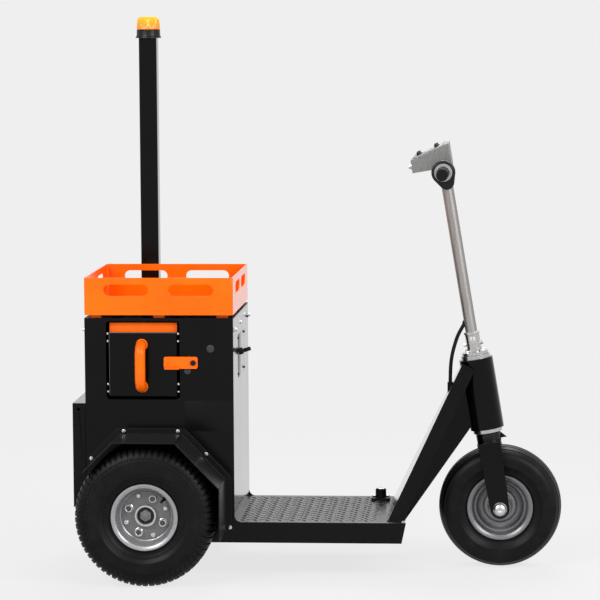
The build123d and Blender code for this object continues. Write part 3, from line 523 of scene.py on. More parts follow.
REAR_RIM_PROFILE = (  # radius, distance from the wheel's middle
    (0.0893, 0.0555), (0.0886, 0.0567), (0.0872, 0.0570), (0.0850, 0.0566), (0.0820, 0.0554),
    (0.0792, 0.0538), (0.0770, 0.0520), (0.0758, 0.0490), (0.0750, 0.0430), (0.0738, 0.0340),
    (0.0722, 0.0260), (0.0702, 0.0210), (0.0670, 0.0180), (0.0630, 0.0170), (0.0310, 0.0170),
    (0.0292, 0.0180), (0.0284, 0.0275), (0.0274, 0.0288), (0.0240, 0.0290), (0.0230, 0.0280),
    (0.0225, 0.0225), (0.0158, 0.0220), (0.0158, -0.0195), (0.0295, -0.0195), (0.0295, 0.0130),
    (0.0660, 0.0130), (0.0690, 0.0060), (0.0710, -0.0300), (0.0722, -0.0545), (0.0870, -0.0568),
    (0.0893, -0.0555), (0.0893, -0.0532), (0.0764, -0.0510), (0.0760, -0.0300), (0.0760, 0.0300),
    (0.0764, 0.0510), (0.0893, 0.0532),
)
NUT_PROFILE = (  # radius, height on the disc
    (0.0004, 0.0), (0.0118, 0.0), (0.0118, 0.0016), (0.0106, 0.0024), (0.0104, 0.0082),
    (0.0094, 0.0092), (0.0076, 0.0092), (0.0068, 0.0084), (0.0066, 0.0030), (0.0044, 0.0030),
    (0.0042, 0.0060), (0.0004, 0.0064),
)
SCREW_PROFILE = ((0.0004, 0.0), (0.0070, 0.0), (0.0068, 0.0026), (0.0050, 0.0044), (0.0004, 0.0050))
HUB_NUT = (0.049, 157, NUT_PROFILE)  # distance from the axle, angle of the first one of four
RIM_SCREW = (0.0555, 110, SCREW_PROFILE)
HUB_RING = (
    (0.0232, 0.0255), (0.0290, 0.0255), (0.0290, 0.0288), (0.0278, 0.0300), (0.0240, 0.0300),
    (0.0232, 0.0290),
)
HUB_PLATE = ((0.0292, 0.0140), (0.0655, 0.0140), (0.0655, 0.0184), (0.0645, 0.0194), (0.0292, 0.0194))
HUB_SOCKET_UP, HUB_SOCKET_R, HUB_SOCKET_T = 0.0028, 0.0066, 0.0036
DISC_FACE = 0.0192
SHAFT_FACE = 0.0218
SHAFT_WELL_R, SHAFT_WELL_T = 0.0222, 0.0016
SHAFT_NUT_R, SHAFT_NUT_T = 0.0160, 0.0055
SHAFT_END_R, SHAFT_END_T = 0.0085, 0.0078
VALVE_ANGLE, VALVE_REACH, VALVE_OUT = radians(42), 0.0715, 0.030
VALVE_LEAN_OUT, VALVE_LEAN_IN = 0.86, 0.5
VALVE_PROFILE = ((0, 0), (0.0055, 0), (0.0050, 0.006), (0.0036, 0.010), (0.0036, 0.022), (0, 0.022))


def turned(profile, centre, axis, steps, closed=True):
    """A profile of (radius, along) points turned full circle about an axis through a centre."""
    bm = bmesh.new()
    axis = Vector(axis).normalized()
    out = axis.orthogonal().normalized()
    verts = [bm.verts.new(Vector(centre) + out * radius + axis * along) for radius, along in profile]
    edges = [bm.edges.new(pair) for pair in zip(verts, verts[1:])]
    if closed:
        edges.append(bm.edges.new((verts[-1], verts[0])))
    bmesh.ops.spin(
        bm, geom=verts + edges, cent=centre, axis=axis, angle=2 * pi, steps=steps, use_merge=True
    )
    bmesh.ops.remove_doubles(bm, verts=bm.verts, dist=0.000001)
    bmesh.ops.recalc_face_normals(bm, faces=bm.faces)
    return bm


def both_sides(profile):
    """A half profile of (radius, along) points with its mirror image across the wheel's middle."""
    return [*profile, *((radius, -along) for radius, along in reversed(profile))]


def add_tread(tyre, block, edge, start, count, centre, axis):
    """Breaks the edges of one block of tread and copies it round a tyre, from a start given in steps."""
    bmesh.ops.bevel(
        block, geom=list(block.edges), offset=edge, segments=1, profile=0.5, affect="EDGES", material=-1
    )
    step = Matrix.Rotation(start * 2 * pi / count, 3, "Y")
    bmesh.ops.rotate(block, cent=centre, matrix=step, verts=block.verts)
    bmesh.ops.spin(
        block, geom=[*block.verts, *block.edges, *block.faces], cent=centre, axis=axis,
        angle=2 * pi * (count - 1) / count, steps=count - 1, use_duplicate=True,
    )
    join(tyre, block)


def on_disc(centre, outward, reach, degrees):
    """A place on a rear wheel's disc, at a distance from the axle and an angle from straight ahead."""
    swing = radians(degrees)
    return centre + outward * DISC_FACE + Vector((reach * cos(swing), 0, reach * sin(swing)))


def tyre_rubber(name, colour, roughness, dusty):
    """Moulded tyre rubber: dull black with dust in its pores."""
    rubber = powder_coat(name, colour, roughness=roughness, grain=0.4, specular=0.12)
    tree = rubber.node_tree
    dust = add_node(
        tree, "ShaderNodeTexNoise", {"Scale": DUST_SCALE, "Detail": DUST_DETAIL},
        {"Vector": tree.nodes["Texture Coordinate"].outputs["Object"]},
    )
    spread = add_node(
        tree, "ShaderNodeMapRange", {"From Min": DUST_LOW, "From Max": DUST_HIGH, "To Max": dusty},
        {"Value": dust.outputs["Fac"]},
    )
    film = add_node(
        tree, "ShaderNodeMix", {"B": DUST_FILM},
        {"Factor": spread.outputs["Result"], "A": tree.nodes["Color Ramp"].outputs["Color"]},
        data_type="RGBA",
    )
    tree.links.new(film.outputs["Result"], tree.nodes["Principled BSDF"].inputs["Base Color"])
    return rubber


rubber = tyre_rubber("tyre_rubber", (0.0042, 0.0042, 0.0045), roughness=0.42, dusty=0.35)
silver_paint = plated_steel("rim_silver", (0.36, 0.36, 0.375), roughness=0.33, metallic=0.55)
# Near-black steel, painted shade: it fills the dark well in each rear hub and the dark gap round the fork's
# stem.
painted_shade_steel = plated_steel("painted_shade_steel", (0.035, 0.034, 0.033), roughness=0.24)
socket_steel = plated_steel("socket_steel", (0.105, 0.102, 0.098), roughness=0.34)
hub_grey = plated_steel("hub_grey", (0.17, 0.17, 0.168), roughness=0.36, metallic=0.5)
for name, hand in HANDS:
    wheel = f"rear_wheel_{name}"
    centre = Vector((REAR_X, hand * WHEEL_Y, REAR_Z))
    outward = Vector((0, hand, 0))
    tyre = turned(both_sides(REAR_CARCASS), centre, outward, 96)
    for side, start in LUG_ROWS:
        lug = bmesh.new()
        flank = lug.faces.new([
            lug.verts.new(centre + Vector((radius, side * along, -LUG_WIDTH / 2)))
            for radius, along in LUG_TOP + LUG_ROOT
        ])
        grown = bmesh.ops.extrude_face_region(lug, geom=[flank])["geom"]
        bmesh.ops.translate(
            lug, vec=(0, 0, LUG_WIDTH), verts=[v for v in grown if isinstance(v, bmesh.types.BMVert)]
        )
        bmesh.ops.recalc_face_normals(lug, faces=lug.faces)
        add_tread(tyre, lug, LUG_EDGE, start, LUG_COUNT, centre, outward)
    for row, (along, slant) in enumerate(BLOCK_ROWS):
        block = bmesh.new()
        seat = centre + Vector((0, along, REAR_R - BLOCK_UNDER - BLOCK_SIZE[2] / 2))
        place = Matrix.Translation(seat) @ Matrix.Rotation(radians(slant), 4, "Z")
        bmesh.ops.create_cube(block, size=1, matrix=place @ Matrix.Diagonal((*BLOCK_SIZE, 1)))
        add_tread(tyre, block, BLOCK_EDGE, row / len(BLOCK_ROWS), BLOCK_COUNT, centre, outward)
    add_piece(
        tyre, f"block_tread_tyre_{name}", rubber, wheel, "tyre_rubber", f"rear_tyre_{name}", sharp=40
    )
    bm = turned(REAR_RIM_PROFILE, centre, outward, 96)
    add_piece(bm, f"pressed_rim_{name}", silver_paint, wheel, "silver_rim", f"rear_rim_{name}")
    bm = turned(HUB_PLATE, centre, outward, 96)
    add_piece(bm, f"hub_plate_{name}", hub_grey, wheel, "silver_rim")
    bm = turned(HUB_RING, centre, outward, 64)
    for quarter in range(4):
        for reach, angle, profile in (HUB_NUT, RIM_SCREW):
            seat = on_disc(centre, outward, reach, angle + 90 * quarter)
            join(bm, turned(profile, seat, outward, 24))
    add_piece(bm, f"hub_fixings_{name}", zinc, wheel, "bright_steel")
    shaft = facing(centre + outward * SHAFT_FACE, outward)
    # The near-black disc in the hub's well is painted shade.
    bm = bmesh.new()
    add_head(bm, shaft, SHAFT_WELL_R, SHAFT_WELL_T, sides=40)
    add_piece(bm, f"shaft_well_{name}", painted_shade_steel, wheel, "bright_steel")
    bm = bmesh.new()
    for quarter in range(4):
        seat = on_disc(centre, outward, HUB_NUT[0], HUB_NUT[1] + 90 * quarter) + outward * HUB_SOCKET_UP
        add_head(bm, facing(seat, outward), HUB_SOCKET_R, HUB_SOCKET_T)
    add_piece(bm, f"hub_sockets_{name}", socket_steel, wheel, "bright_steel")
    bm = bmesh.new()
    add_head(bm, shaft, SHAFT_NUT_R, SHAFT_NUT_T, sides=6, rounding=0.3)
    add_head(bm, shaft, SHAFT_END_R, SHAFT_END_T, rounding=0.3)
    add_piece(bm, f"shaft_nut_{name}", hub_grey, wheel, "bright_steel")
    spoke = Vector((cos(VALVE_ANGLE), 0, sin(VALVE_ANGLE)))
    valve = turned(
        VALVE_PROFILE, centre + outward * VALVE_OUT + spoke * VALVE_REACH,
        VALVE_LEAN_OUT * outward - VALVE_LEAN_IN * spoke, 16, closed=False,
    )
    add_piece(valve, f"valve_{name}", rubber, wheel, "tyre_rubber")

# Battery: an orange-coated case behind a flat black face, with a bent orange tube to pull it out by. Matte
# black strips and a sill round the face are painted shade for the dark gap there, thin grey strips on the
# face's top and left edges are a painted highlight, and the latch is a flat orange bar with a folded lip, on
# one pivot bolt.
ORANGE = (1.0, 0.136, 0.001)
FACE_LOW, FACE_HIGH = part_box("battery_face")
FACE_EDGE = 0.0018
STRIP_DEPTH, STRIP_T, STRIP_EDGE = 0.006, 0.002, 0.0004
SILL_HEIGHT, SILL_IN, SILL_EDGE = 0.008, 0.0005, 0.0006
HEM_OUT, HEM_BACK = 0.0006, 0.001
HEM_T, HEM_IN, HEM_EDGE = 0.0022, 0.001, 0.0005
SIDE_HEM_T, SIDE_HEM_UP, SIDE_HEM_EDGE = 0.0009, 0.012, 0.0003
BAY_SCREWS = (0.0425, 0.0625, 0.1785, 0.1985)  # below the body's top
BAY_SCREW_IN, BAY_SCREW_R, BAY_SCREW_T = 0.004, 0.0030, 0.0028
orange_coat = powder_coat("orange_coat", ORANGE, roughness=0.26, grain=0.03, specular=0.12, lacquer=1)
dress(orange_coat, "battery_case", "battery_handle", "battery_latch")
dress(black_coat, "battery_face")
soften(SHEET_EDGE, "battery_latch")
soften(FACE_EDGE, "battery_face")
strip_y = SIDE_Y + STRIP_DEPTH
bm = bmesh.new()
for edge, step in ((FACE_LOW[0], -1), (FACE_HIGH[0], 1)):
    rear, front = sorted((edge, edge + step * 2 * BAY_SCREW_IN))
    add_plate(bm, (rear, strip_y, FACE_LOW[2]), (front, strip_y + STRIP_T, FACE_HIGH[2]), STRIP_EDGE)
add_plate(
    bm, (FACE_LOW[0], SIDE_Y + SILL_IN, FACE_LOW[2]),
    (FACE_HIGH[0], FACE_LOW[1], FACE_LOW[2] + SILL_HEIGHT), SILL_EDGE,
)
# The side strips and the sill at the face's foot are near-black and matte: painted shade for the dark gap
# round the face.
painted_shade_black = powder_coat("painted_shade_black", (0.0003, 0.0003, 0.0003), roughness=0.9, grain=0.4, specular=0)
add_piece(bm, "bay_frame_strips", painted_shade_black, "chassis", "black_plastic")
# A thin grey strip along the face's top edge and another up its left edge are a painted highlight where those
# edges catch the light.
bm = bmesh.new()
add_plate(
    bm, (FACE_LOW[0] + HEM_IN, FACE_LOW[1] - HEM_OUT, FACE_HIGH[2] - HEM_T),
    (FACE_HIGH[0] - HEM_IN, FACE_LOW[1] + HEM_BACK, FACE_HIGH[2]), HEM_EDGE,
)
add_plate(
    bm, (FACE_LOW[0], FACE_LOW[1] - HEM_OUT, FACE_LOW[2] + SIDE_HEM_UP),
    (FACE_LOW[0] + SIDE_HEM_T, FACE_LOW[1] + HEM_BACK, FACE_HIGH[2]), SIDE_HEM_EDGE,
)
painted_highlight_grey = powder_coat("painted_highlight_grey", (0.11, 0.108, 0.107), roughness=0.34, grain=0.02, specular=0.3)
add_piece(bm, "painted_highlight_hem", painted_highlight_grey, "chassis", "black_paint")
bm = bmesh.new()
for x in (FACE_LOW[0] - BAY_SCREW_IN, FACE_HIGH[0] + BAY_SCREW_IN):
    for drop in BAY_SCREWS:
        place = facing((x, strip_y, BODY_TOP - drop), OUT_RIGHT)
        add_head(bm, place, BAY_SCREW_R, BAY_SCREW_T, rounding=0.5)
add_piece(bm, "bay_screws", zinc, "chassis", "bright_steel")

LATCH_LOW, LATCH_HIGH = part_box("battery_latch")
LIP_LENGTH, LIP_T, LIP_OUT, LIP_EDGE = 0.042, 0.003, 0.007, 0.0008
LIP_START, LIP_ROOT, LIP_UP = 0.002, 0.001, 0.0042
LIP_FOLD = radians(28)
LATCH_PIVOT_IN, LATCH_PIVOT_R, LATCH_PIVOT_T, LATCH_PIVOT_SINK = 0.012, 0.0072, 0.005, 0.001
bm = bmesh.new()
add_plate(
    bm, (LATCH_LOW[0] + LIP_START, -LIP_OUT, -LIP_T), (LATCH_LOW[0] + LIP_LENGTH, LIP_ROOT, 0), LIP_EDGE
)
fold = Matrix.Translation((0, LATCH_LOW[1] + LIP_ROOT, LATCH_LOW[2] + LIP_UP))
bmesh.ops.transform(bm, matrix=fold @ Matrix.Rotation(LIP_FOLD, 4, "X"), verts=bm.verts)
add_piece(bm, "latch_lip", orange_coat, "chassis", "orange_paint")
bm = bmesh.new()
latch_middle = (LATCH_LOW[2] + LATCH_HIGH[2]) / 2
pivot = facing((LATCH_HIGH[0] - LATCH_PIVOT_IN, LATCH_LOW[1] + LATCH_PIVOT_T, latch_middle), OUT_RIGHT)
add_head(bm, pivot, LATCH_PIVOT_R, LATCH_PIVOT_T + LATCH_PIVOT_SINK, sides=32, rounding=0.15)
add_piece(bm, "latch_pivot", black_plastic, "chassis", "black_plastic")

# Handle feet: a round steel pad is welded under each end of the pull handle, where the bent tube meets the
# battery's face. The pads carry the same orange coat.
PAD_OVER, PAD_T = 0.002, 0.003
HANDLE_LOW, HANDLE_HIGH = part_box("battery_handle")
HANDLE_R = (HANDLE_HIGH[0] - HANDLE_LOW[0]) / 2
HANDLE_X = (HANDLE_LOW[0] + HANDLE_HIGH[0]) / 2
bm = bmesh.new()
for height in (HANDLE_LOW[2] + HANDLE_R, HANDLE_HIGH[2] - HANDLE_R):
    place = facing((HANDLE_X, FACE_LOW[1], height), OUT_RIGHT)
    add_head(bm, place, HANDLE_R + PAD_OVER, PAD_T, sides=40, rounding=0.5)
add_piece(bm, "handle_pads", orange_coat, "chassis", "orange_paint")

# Basket: an open tray of folded and welded sheet steel in the same orange coat. It stands on small feet on
# the body's top.
dress(orange_coat, "basket", "basket_feet")
soften(SHEET_EDGE, "basket")

# Mast: a black square tube in two bolted clamps on the left side, capped by a low amber beacon whose lens
# is moulded with upright ribs.
CLAMP_EDGE, CLAMP_EAR = 0.0008, 0.005
CLAMP_LOWS = (0.48, 0.64)
MAST_BOLT_IN, MAST_BOLT_UPS = 0.012, (0.01, 0.03)
MAST_BOLT_R, MAST_BOLT_T = 0.0055, 0.004
dress(black_coat, "mast", "mast_clamps")
soften(CLAMP_EDGE, "mast_clamps")
clamp_low, clamp_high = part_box("mast_clamps")
mast_low, mast_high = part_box("mast")
LEFT_Y = -SIDE_Y
MAST_X = (mast_low[0] + mast_high[0]) / 2
MAST_Y = (mast_low[1] + mast_high[1]) / 2
bm = bmesh.new()
for low in CLAMP_LOWS:
    for x in (clamp_low[0] + MAST_BOLT_IN, clamp_high[0] - MAST_BOLT_IN):
        for up in MAST_BOLT_UPS:
            place = facing((x, LEFT_Y + CLAMP_EAR, low + up), (0, 1, 0))
            add_head(bm, place, MAST_BOLT_R, MAST_BOLT_T, sides=6, rounding=0.2)
add_piece(bm, "clamp_bolts", zinc, "chassis", "bright_steel")

LENS_LOW, LENS_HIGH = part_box("beacon_lens")
LENS_R = (LENS_HIGH[0] - LENS_LOW[0]) / 2
LENS_H = LENS_HIGH[2] - LENS_LOW[2]
LENS_RIBS, RIB_FROM, RIB_FOOT, RIB_DEPTH = 48, 0.9, 0.004, 0.0009
AMBER_DEEP, AMBER_PALE = (1.0, 0.24, 0.003, 1), (1.0, 0.60, 0.006, 1)
AMBER_ROUGHNESS, AMBER_CLEAR, AMBER_IOR = 0.16, 0.12, 1.49
LAMP_PROFILE = ((0, 0), (0.016, 0), (0.013, 0.006), (0.011, 0.022), (0.007, 0.024), (0, 0.024))
LAMP_UP = 0.003
BASE_LOW, BASE_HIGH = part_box("beacon_base")
BASE_R = (BASE_HIGH[0] - BASE_LOW[0]) / 2
BASE_H = BASE_HIGH[2] - BASE_LOW[2]
base_profile = (
    (0, 0), (BASE_R, 0), (BASE_R - 0.0002, 0.0022), (BASE_R - 0.0018, 0.0045), (BASE_R - 0.0030, 0.0085),
    (BASE_R - 0.0034, BASE_H - 0.001), (BASE_R - 0.0042, BASE_H), (0, BASE_H),
)
bm = turned(base_profile, (MAST_X, MAST_Y, BASE_LOW[2]), (0, 0, 1), 64, closed=False)
add_piece(bm, "flared_base", black_plastic, "chassis", "black_plastic", "beacon_base")
# The lens's amber is painted deeper at its foot and paler towards its top.
amber = new_finish(
    "amber_lens", {"Roughness": AMBER_ROUGHNESS, "Transmission Weight": AMBER_CLEAR, "IOR": AMBER_IOR}
)
tree = amber.node_tree
place = add_node(tree, "ShaderNodeTexCoord").outputs["Object"]
height = add_node(tree, "ShaderNodeSeparateXYZ", wires={"Vector": place}).outputs["Z"]
depth = add_node(
    tree, "ShaderNodeMapRange", {"From Min": LENS_LOW[2], "From Max": LENS_HIGH[2]}, {"Value": height}
)
tint = add_node(tree, "ShaderNodeValToRGB", wires={"Fac": depth.outputs["Result"]})
for end, colour in zip(tint.color_ramp.elements, (AMBER_DEEP, AMBER_PALE)):
    end.color = colour
tree.links.new(tint.outputs["Color"], tree.nodes["Principled BSDF"].inputs["Base Color"])
lens_profile = (
    (0, 0.002), (LENS_R - 0.004, 0.002), (LENS_R - 0.001, 0.0), (LENS_R, 0.002), (LENS_R - 0.0008, 0.006),
    (LENS_R - 0.0015, 0.5 * LENS_H), (LENS_R - 0.0028, 0.78 * LENS_H), (LENS_R - 0.008, 0.95 * LENS_H),
    (LENS_R - 0.014, LENS_H - 0.0004), (0, LENS_H),
)
bm = turned(lens_profile, (MAST_X, MAST_Y, LENS_LOW[2]), (0, 0, 1), 2 * LENS_RIBS, closed=False)
for v in bm.verts:
    spoke = Vector((v.co.x - MAST_X, v.co.y - MAST_Y, 0))
    if spoke.length > RIB_FROM * LENS_R and LENS_LOW[2] + RIB_FOOT < v.co.z:
        turn_index = round(spoke.angle(Vector((1, 0, 0))) / (pi / LENS_RIBS))
        if turn_index % 2:
            v.co -= spoke.normalized() * RIB_DEPTH
add_piece(bm, "ribbed_lens", amber, "chassis", "amber_lens", "beacon_lens", sharp=25)
bm = turned(LAMP_PROFILE, (MAST_X, MAST_Y, LENS_LOW[2] + LAMP_UP), (0, 0, 1), 32, closed=False)
add_piece(bm, "beacon_lamp", zinc, "chassis", "bright_steel")

# Neck, keel and head tube: black-coated plate, welded along every joint. A bead of weld shows along the rear
# of the neck's foot, and bright bearing rings sit in the tube's ends.
NECK_LOW, NECK_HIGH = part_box("neck")
BEAD_R, BEAD_STEP, BEAD_UP = 0.0028, 0.004, 0.0008
dress(black_coat, "neck", "keel", "head_tube")
soften(SHEET_EDGE, "neck")
bright_steel = plated_steel("bright_steel", (0.58, 0.57, 0.56), roughness=0.2)
dress(bright_steel, "head_bearings")
bm = bmesh.new()
bead_count = int((NECK_HIGH[1] - NECK_LOW[1]) / BEAD_STEP)
for count in range(bead_count + 1):
    bmesh.ops.create_icosphere(
        bm, subdivisions=1, radius=BEAD_R,
        matrix=Matrix.Translation((NECK_LOW[0], NECK_LOW[1] + count * BEAD_STEP, NECK_LOW[2] + BEAD_UP)),
    )
add_piece(bm, "neck_weld", black_coat, "chassis", "black_paint", sharp=80)

# Front wheel: a ribbed rubber tyre on a rim that is pressed in steps from sheet steel and painted dark
# silver. It turns on the axle between the fork legs.
FRONT_LOW, FRONT_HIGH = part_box("front_tyre")
FRONT_X = (FRONT_LOW[0] + FRONT_HIGH[0]) / 2
FRONT_R = (FRONT_HIGH[2] - FRONT_LOW[2]) / 2
FRONT_CENTRE = Vector((FRONT_X, 0, FRONT_R))
FRONT_TREAD = (  # radius, distance from the wheel's middle
    (0.0765, 0.0425), (0.0915, 0.0440), (0.0945, 0.0475), (0.0985, 0.0478), (0.1060, 0.0530),
    (0.1145, 0.0578), (0.1160, 0.0592), (0.1180, 0.0590), (0.1260, 0.0606), (0.1360, 0.0602),
    (0.1440, 0.0575), (0.1500, 0.0535), (0.1515, 0.0535), (0.1545, 0.0495), (0.1585, 0.0425),
    (0.1560, 0.0415), (0.1560, 0.0385), (0.1605, 0.0375), (0.1642, 0.0255), (0.1605, 0.0248),
    (0.1605, 0.0218), (0.1650, 0.0210), (0.1668, 0.0080), (0.1630, 0.0074), (0.1630, 0.0048),
    (0.1669, 0.0042),
)
FRONT_RIM_PROFILE = (  # radius, distance from the wheel's middle
    (0.0893, 0.0465), (0.0886, 0.0477), (0.0872, 0.0480), (0.0848, 0.0474), (0.0820, 0.0462),
    (0.0790, 0.0447), (0.0768, 0.0434), (0.0758, 0.0410), (0.0746, 0.0350), (0.0728, 0.0280),
    (0.0700, 0.0245), (0.0655, 0.0235), (0.0630, 0.0200), (0.0600, 0.0130), (0.0560, 0.0105),
    (0.0480, 0.0100), (0.0450, 0.0120), (0.0420, 0.0165), (0.0385, 0.0180), (0.0345, 0.0180),
    (0.0310, 0.0210), (0.0298, 0.0280), (0.0296, 0.0640), (0.0280, 0.0655), (0.0085, 0.0655),
    (0.0085, -0.0655), (0.0280, -0.0655), (0.0298, -0.0640), (0.0298, 0.0060), (0.0560, 0.0060),
    (0.0690, 0.0190), (0.0705, -0.0380), (0.0842, -0.0470), (0.0872, -0.0480), (0.0893, -0.0465),
    (0.0893, -0.0436), (0.0764, -0.0425), (0.0764, 0.0425), (0.0893, 0.0436),
)
bm = turned(both_sides(FRONT_TREAD), FRONT_CENTRE, (0, -1, 0), 112)
add_piece(bm, "ribbed_tyre", rubber, "front_wheel", "tyre_rubber", "front_tyre", sharp=40)
bm = turned(FRONT_RIM_PROFILE, FRONT_CENTRE, (0, -1, 0), 96)
dark_silver = plated_steel("dark_silver", (0.19, 0.19, 0.198), roughness=0.3, metallic=0.55)
add_piece(bm, "stepped_rim", dark_silver, "front_wheel", "silver_rim", "front_rim")

# Fork: two flat steel legs welded to the crown plate, their lower ends rounded about the axle, and a small
# stop fin in front that limits the lock. All are black-coated.
joint = next(j for j in frame["record"]["behaviour"]["joints"] if j["name"] == "steering_turn")
STEER_AXIS = Vector(joint["axis"]).normalized()
STEER_AHEAD = Vector((STEER_AXIS.z, 0, -STEER_AXIS.x))
steer_turn = Matrix((STEER_AHEAD, (0, 1, 0), STEER_AXIS)).transposed()
STEER = Matrix.Translation(joint["pos_m"]) @ steer_turn.to_4x4()
CROWN_LOW, CROWN_TOP = 0.173, 0.183
LEG_IN, LEG_OUT, LEG_EDGE = 0.068, 0.076, 0.0012
LEG_TOP_HALF, LEG_END_R = 0.031, 0.026
STOP_FIN = ((0.028, CROWN_TOP), (0.049, CROWN_TOP), (0.034, CROWN_TOP + 0.016))
STOP_HALF, STOP_EDGE = 0.003, 0.0008


def arc(middle, radius, start, end, steps):
    """Points on a circle from a start to an end angle, both in the steering's side view."""
    sweep = [start + (end - start) * step / steps for step in range(steps + 1)]
    return [(middle[0] + radius * cos(a), middle[1] + radius * sin(a)) for a in sweep]


def add_slab(bm, outline, right, left, rounding):
    """A flat slab with an outline of (ahead, above) points on the steering and rounded rims."""
    slab = bmesh.new()
    near = slab.faces.new([slab.verts.new((ahead, right, above)) for ahead, above in outline])
    grown = bmesh.ops.extrude_face_region(slab, geom=[near])["geom"]
    far = [v for v in grown if isinstance(v, bmesh.types.BMVert)]
    bmesh.ops.translate(slab, vec=(0, left - right, 0), verts=far)
    bmesh.ops.recalc_face_normals(slab, faces=slab.faces)
    rims = [e for e in slab.edges if len({round(v.co.y, 6) for v in e.verts}) == 1]
    bmesh.ops.bevel(slab, geom=rims, offset=rounding, segments=3, profile=0.5, affect="EDGES", material=-1)
    bmesh.ops.transform(slab, matrix=STEER, verts=slab.verts)
    join(bm, slab)


dress(black_coat, "fork_crown")
soften(SHEET_EDGE, "fork_crown")
# The stem's near-black steel is painted shade for the dark gap between the head tube and the crown.
dress(painted_shade_steel, "fork_stem")
leg_line = arc((0, 0), LEG_END_R, -pi, 0, 24)
leg_line += [(LEG_TOP_HALF, height) for height in (CROWN_LOW, CROWN_TOP)]
leg_line += [(-LEG_TOP_HALF, height) for height in (CROWN_TOP, CROWN_LOW)]
for name, hand in HANDS:
    bm = bmesh.new()
    add_slab(bm, leg_line, *sorted((hand * LEG_IN, hand * LEG_OUT)), LEG_EDGE)
    add_piece(bm, f"welded_leg_{name}", black_coat, "steering", "black_paint", f"fork_leg_{name}")
bm = bmesh.new()
add_slab(bm, STOP_FIN, -STOP_HALF, STOP_HALF, STOP_EDGE)
add_piece(bm, "stop_fin", black_coat, "steering", "black_paint")

# Front axle: one turned steel rod through both fork legs and the wheel's hub, with a domed, plated cap nut on
# each end.
AXLE_R = 0.008
AXLE_CAP = (  # radius, distance from the wheel's middle
    (0.0190, 0.0762), (0.0190, 0.0796), (0.0178, 0.0808), (0.0170, 0.0868), (0.0140, 0.0910),
    (0.0085, 0.0936), (0.0048, 0.0940), (0.0036, 0.0932), (0.0036, 0.0895), (0, 0.0892),
)
rod_end = AXLE_CAP[0][1]
axle_line = [(radius, -along) for radius, along in reversed(AXLE_CAP)]
axle_line += [(AXLE_R, -rod_end), (AXLE_R, rod_end), *AXLE_CAP]
bm = turned(axle_line, FRONT_CENTRE, (0, 1, 0), 40, closed=False)
add_piece(bm, "axle_with_caps", zinc, "steering", "bright_steel", "front_axle")

# Steering socket: a turned flange with four hexagon bolts, a clamp bolt through the sleeve, and a bright
# collar where the tube goes in.
FLANGE_TOP, SOCKET_TOP = 0.4283, 0.4763
SOCKET_R, TUBE_R = 0.020, 0.016
SOCKET_COLLAR = (  # radius, height on the column
    (TUBE_R, SOCKET_TOP), (SOCKET_R - 0.001, SOCKET_TOP), (SOCKET_R + 0.0018, SOCKET_TOP + 0.001),
    (SOCKET_R + 0.0018, SOCKET_TOP + 0.006), (SOCKET_R, SOCKET_TOP + 0.0075), (TUBE_R, SOCKET_TOP + 0.0075),
)
FLANGE_BOLT_REACH, FLANGE_BOLT_R, FLANGE_BOLT_T = 0.0292, 0.0062, 0.0055
CLAMP_BOLT_UP, CROSS_BOLT_UP, BOLT_SINK = 0.461, 0.450, 0.001
CLAMP_BOSS_R, CLAMP_BOSS_T = 0.0095, 0.007
CLAMP_NUT_OUT, CLAMP_NUT_R, CLAMP_NUT_T = 0.006, 0.0060, 0.004
CROSS_BOLT_R, CROSS_BOLT_T = 0.0055, 0.008
tube_steel = plated_steel("tube_steel", (0.36, 0.345, 0.335), roughness=0.42, streak=(1, 1, 0.04))
dress(bright_steel, "stem_socket", "handlebar")
dress(tube_steel, "steering_tube")
bm = turned(SOCKET_COLLAR, (0, 0, 0), (0, 0, 1), 48)
for quarter in range(4):
    swing = radians(45 + 90 * quarter)
    seat = (FLANGE_BOLT_REACH * cos(swing), FLANGE_BOLT_REACH * sin(swing), FLANGE_TOP)
    add_head(bm, facing(seat, (0, 0, 1)), FLANGE_BOLT_R, FLANGE_BOLT_T, sides=6, rounding=0.2)
for left in (-1, 1):
    boss = facing((0, left * (SOCKET_R - BOLT_SINK), CLAMP_BOLT_UP), (0, left, 0))
    add_head(bm, boss, CLAMP_BOSS_R, CLAMP_BOSS_T, rounding=0.3)
    nut = facing((0, left * (SOCKET_R + CLAMP_NUT_OUT), CLAMP_BOLT_UP), (0, left, 0))
    add_head(bm, nut, CLAMP_NUT_R, CLAMP_NUT_T, sides=6, rounding=0.2)
for ahead in (-1, 1):
    place = facing((ahead * (SOCKET_R - BOLT_SINK), 0, CROSS_BOLT_UP), (ahead, 0, 0))
    add_head(bm, place, CROSS_BOLT_R, CROSS_BOLT_T, sides=6, rounding=0.2)
bmesh.ops.transform(bm, matrix=STEER, verts=bm.verts)
add_piece(bm, "socket_fixings", zinc, "steering", "bright_steel")

# Grips: ribbed rubber sleeves pushed over the bar's ends, each closed by a thick rim. The grooves between the
# ribs are moulded in.
BAR_UP = 0.931
GRIP_IN, GRIP_OUT, GRIP_R, GRIP_BORE = 0.150, 0.274, 0.016, 0.0112
GRIP_RIM_IN, GRIP_RIM_OUT, GRIP_END_T = 0.006, 0.007, 0.004
GRIP_EDGE_IN, GRIP_EDGE_OUT = 0.001, 0.002
GRIP_RIBS, RIBS_FROM, RIBS_TO = 22, 0.008, 0.010  # count, distances from the sleeve's two ends
GROOVE_R, RIB_R = GRIP_R - 0.0010, GRIP_R - 0.0002
GROOVE_END, RIB_START, RIB_END = 0.35, 0.5, 0.9  # shares of one rib's pitch
grip_rubber = tyre_rubber("grip_rubber", (0.006, 0.006, 0.006), roughness=0.45, dusty=0.1)
pitch = (GRIP_OUT - GRIP_IN - RIBS_FROM - RIBS_TO) / GRIP_RIBS
grip_line = [(GRIP_BORE, GRIP_IN), (GRIP_R - GRIP_EDGE_IN, GRIP_IN)]
grip_line += [(GRIP_R, GRIP_IN + GRIP_EDGE_IN), (GRIP_R, GRIP_IN + GRIP_RIM_IN)]
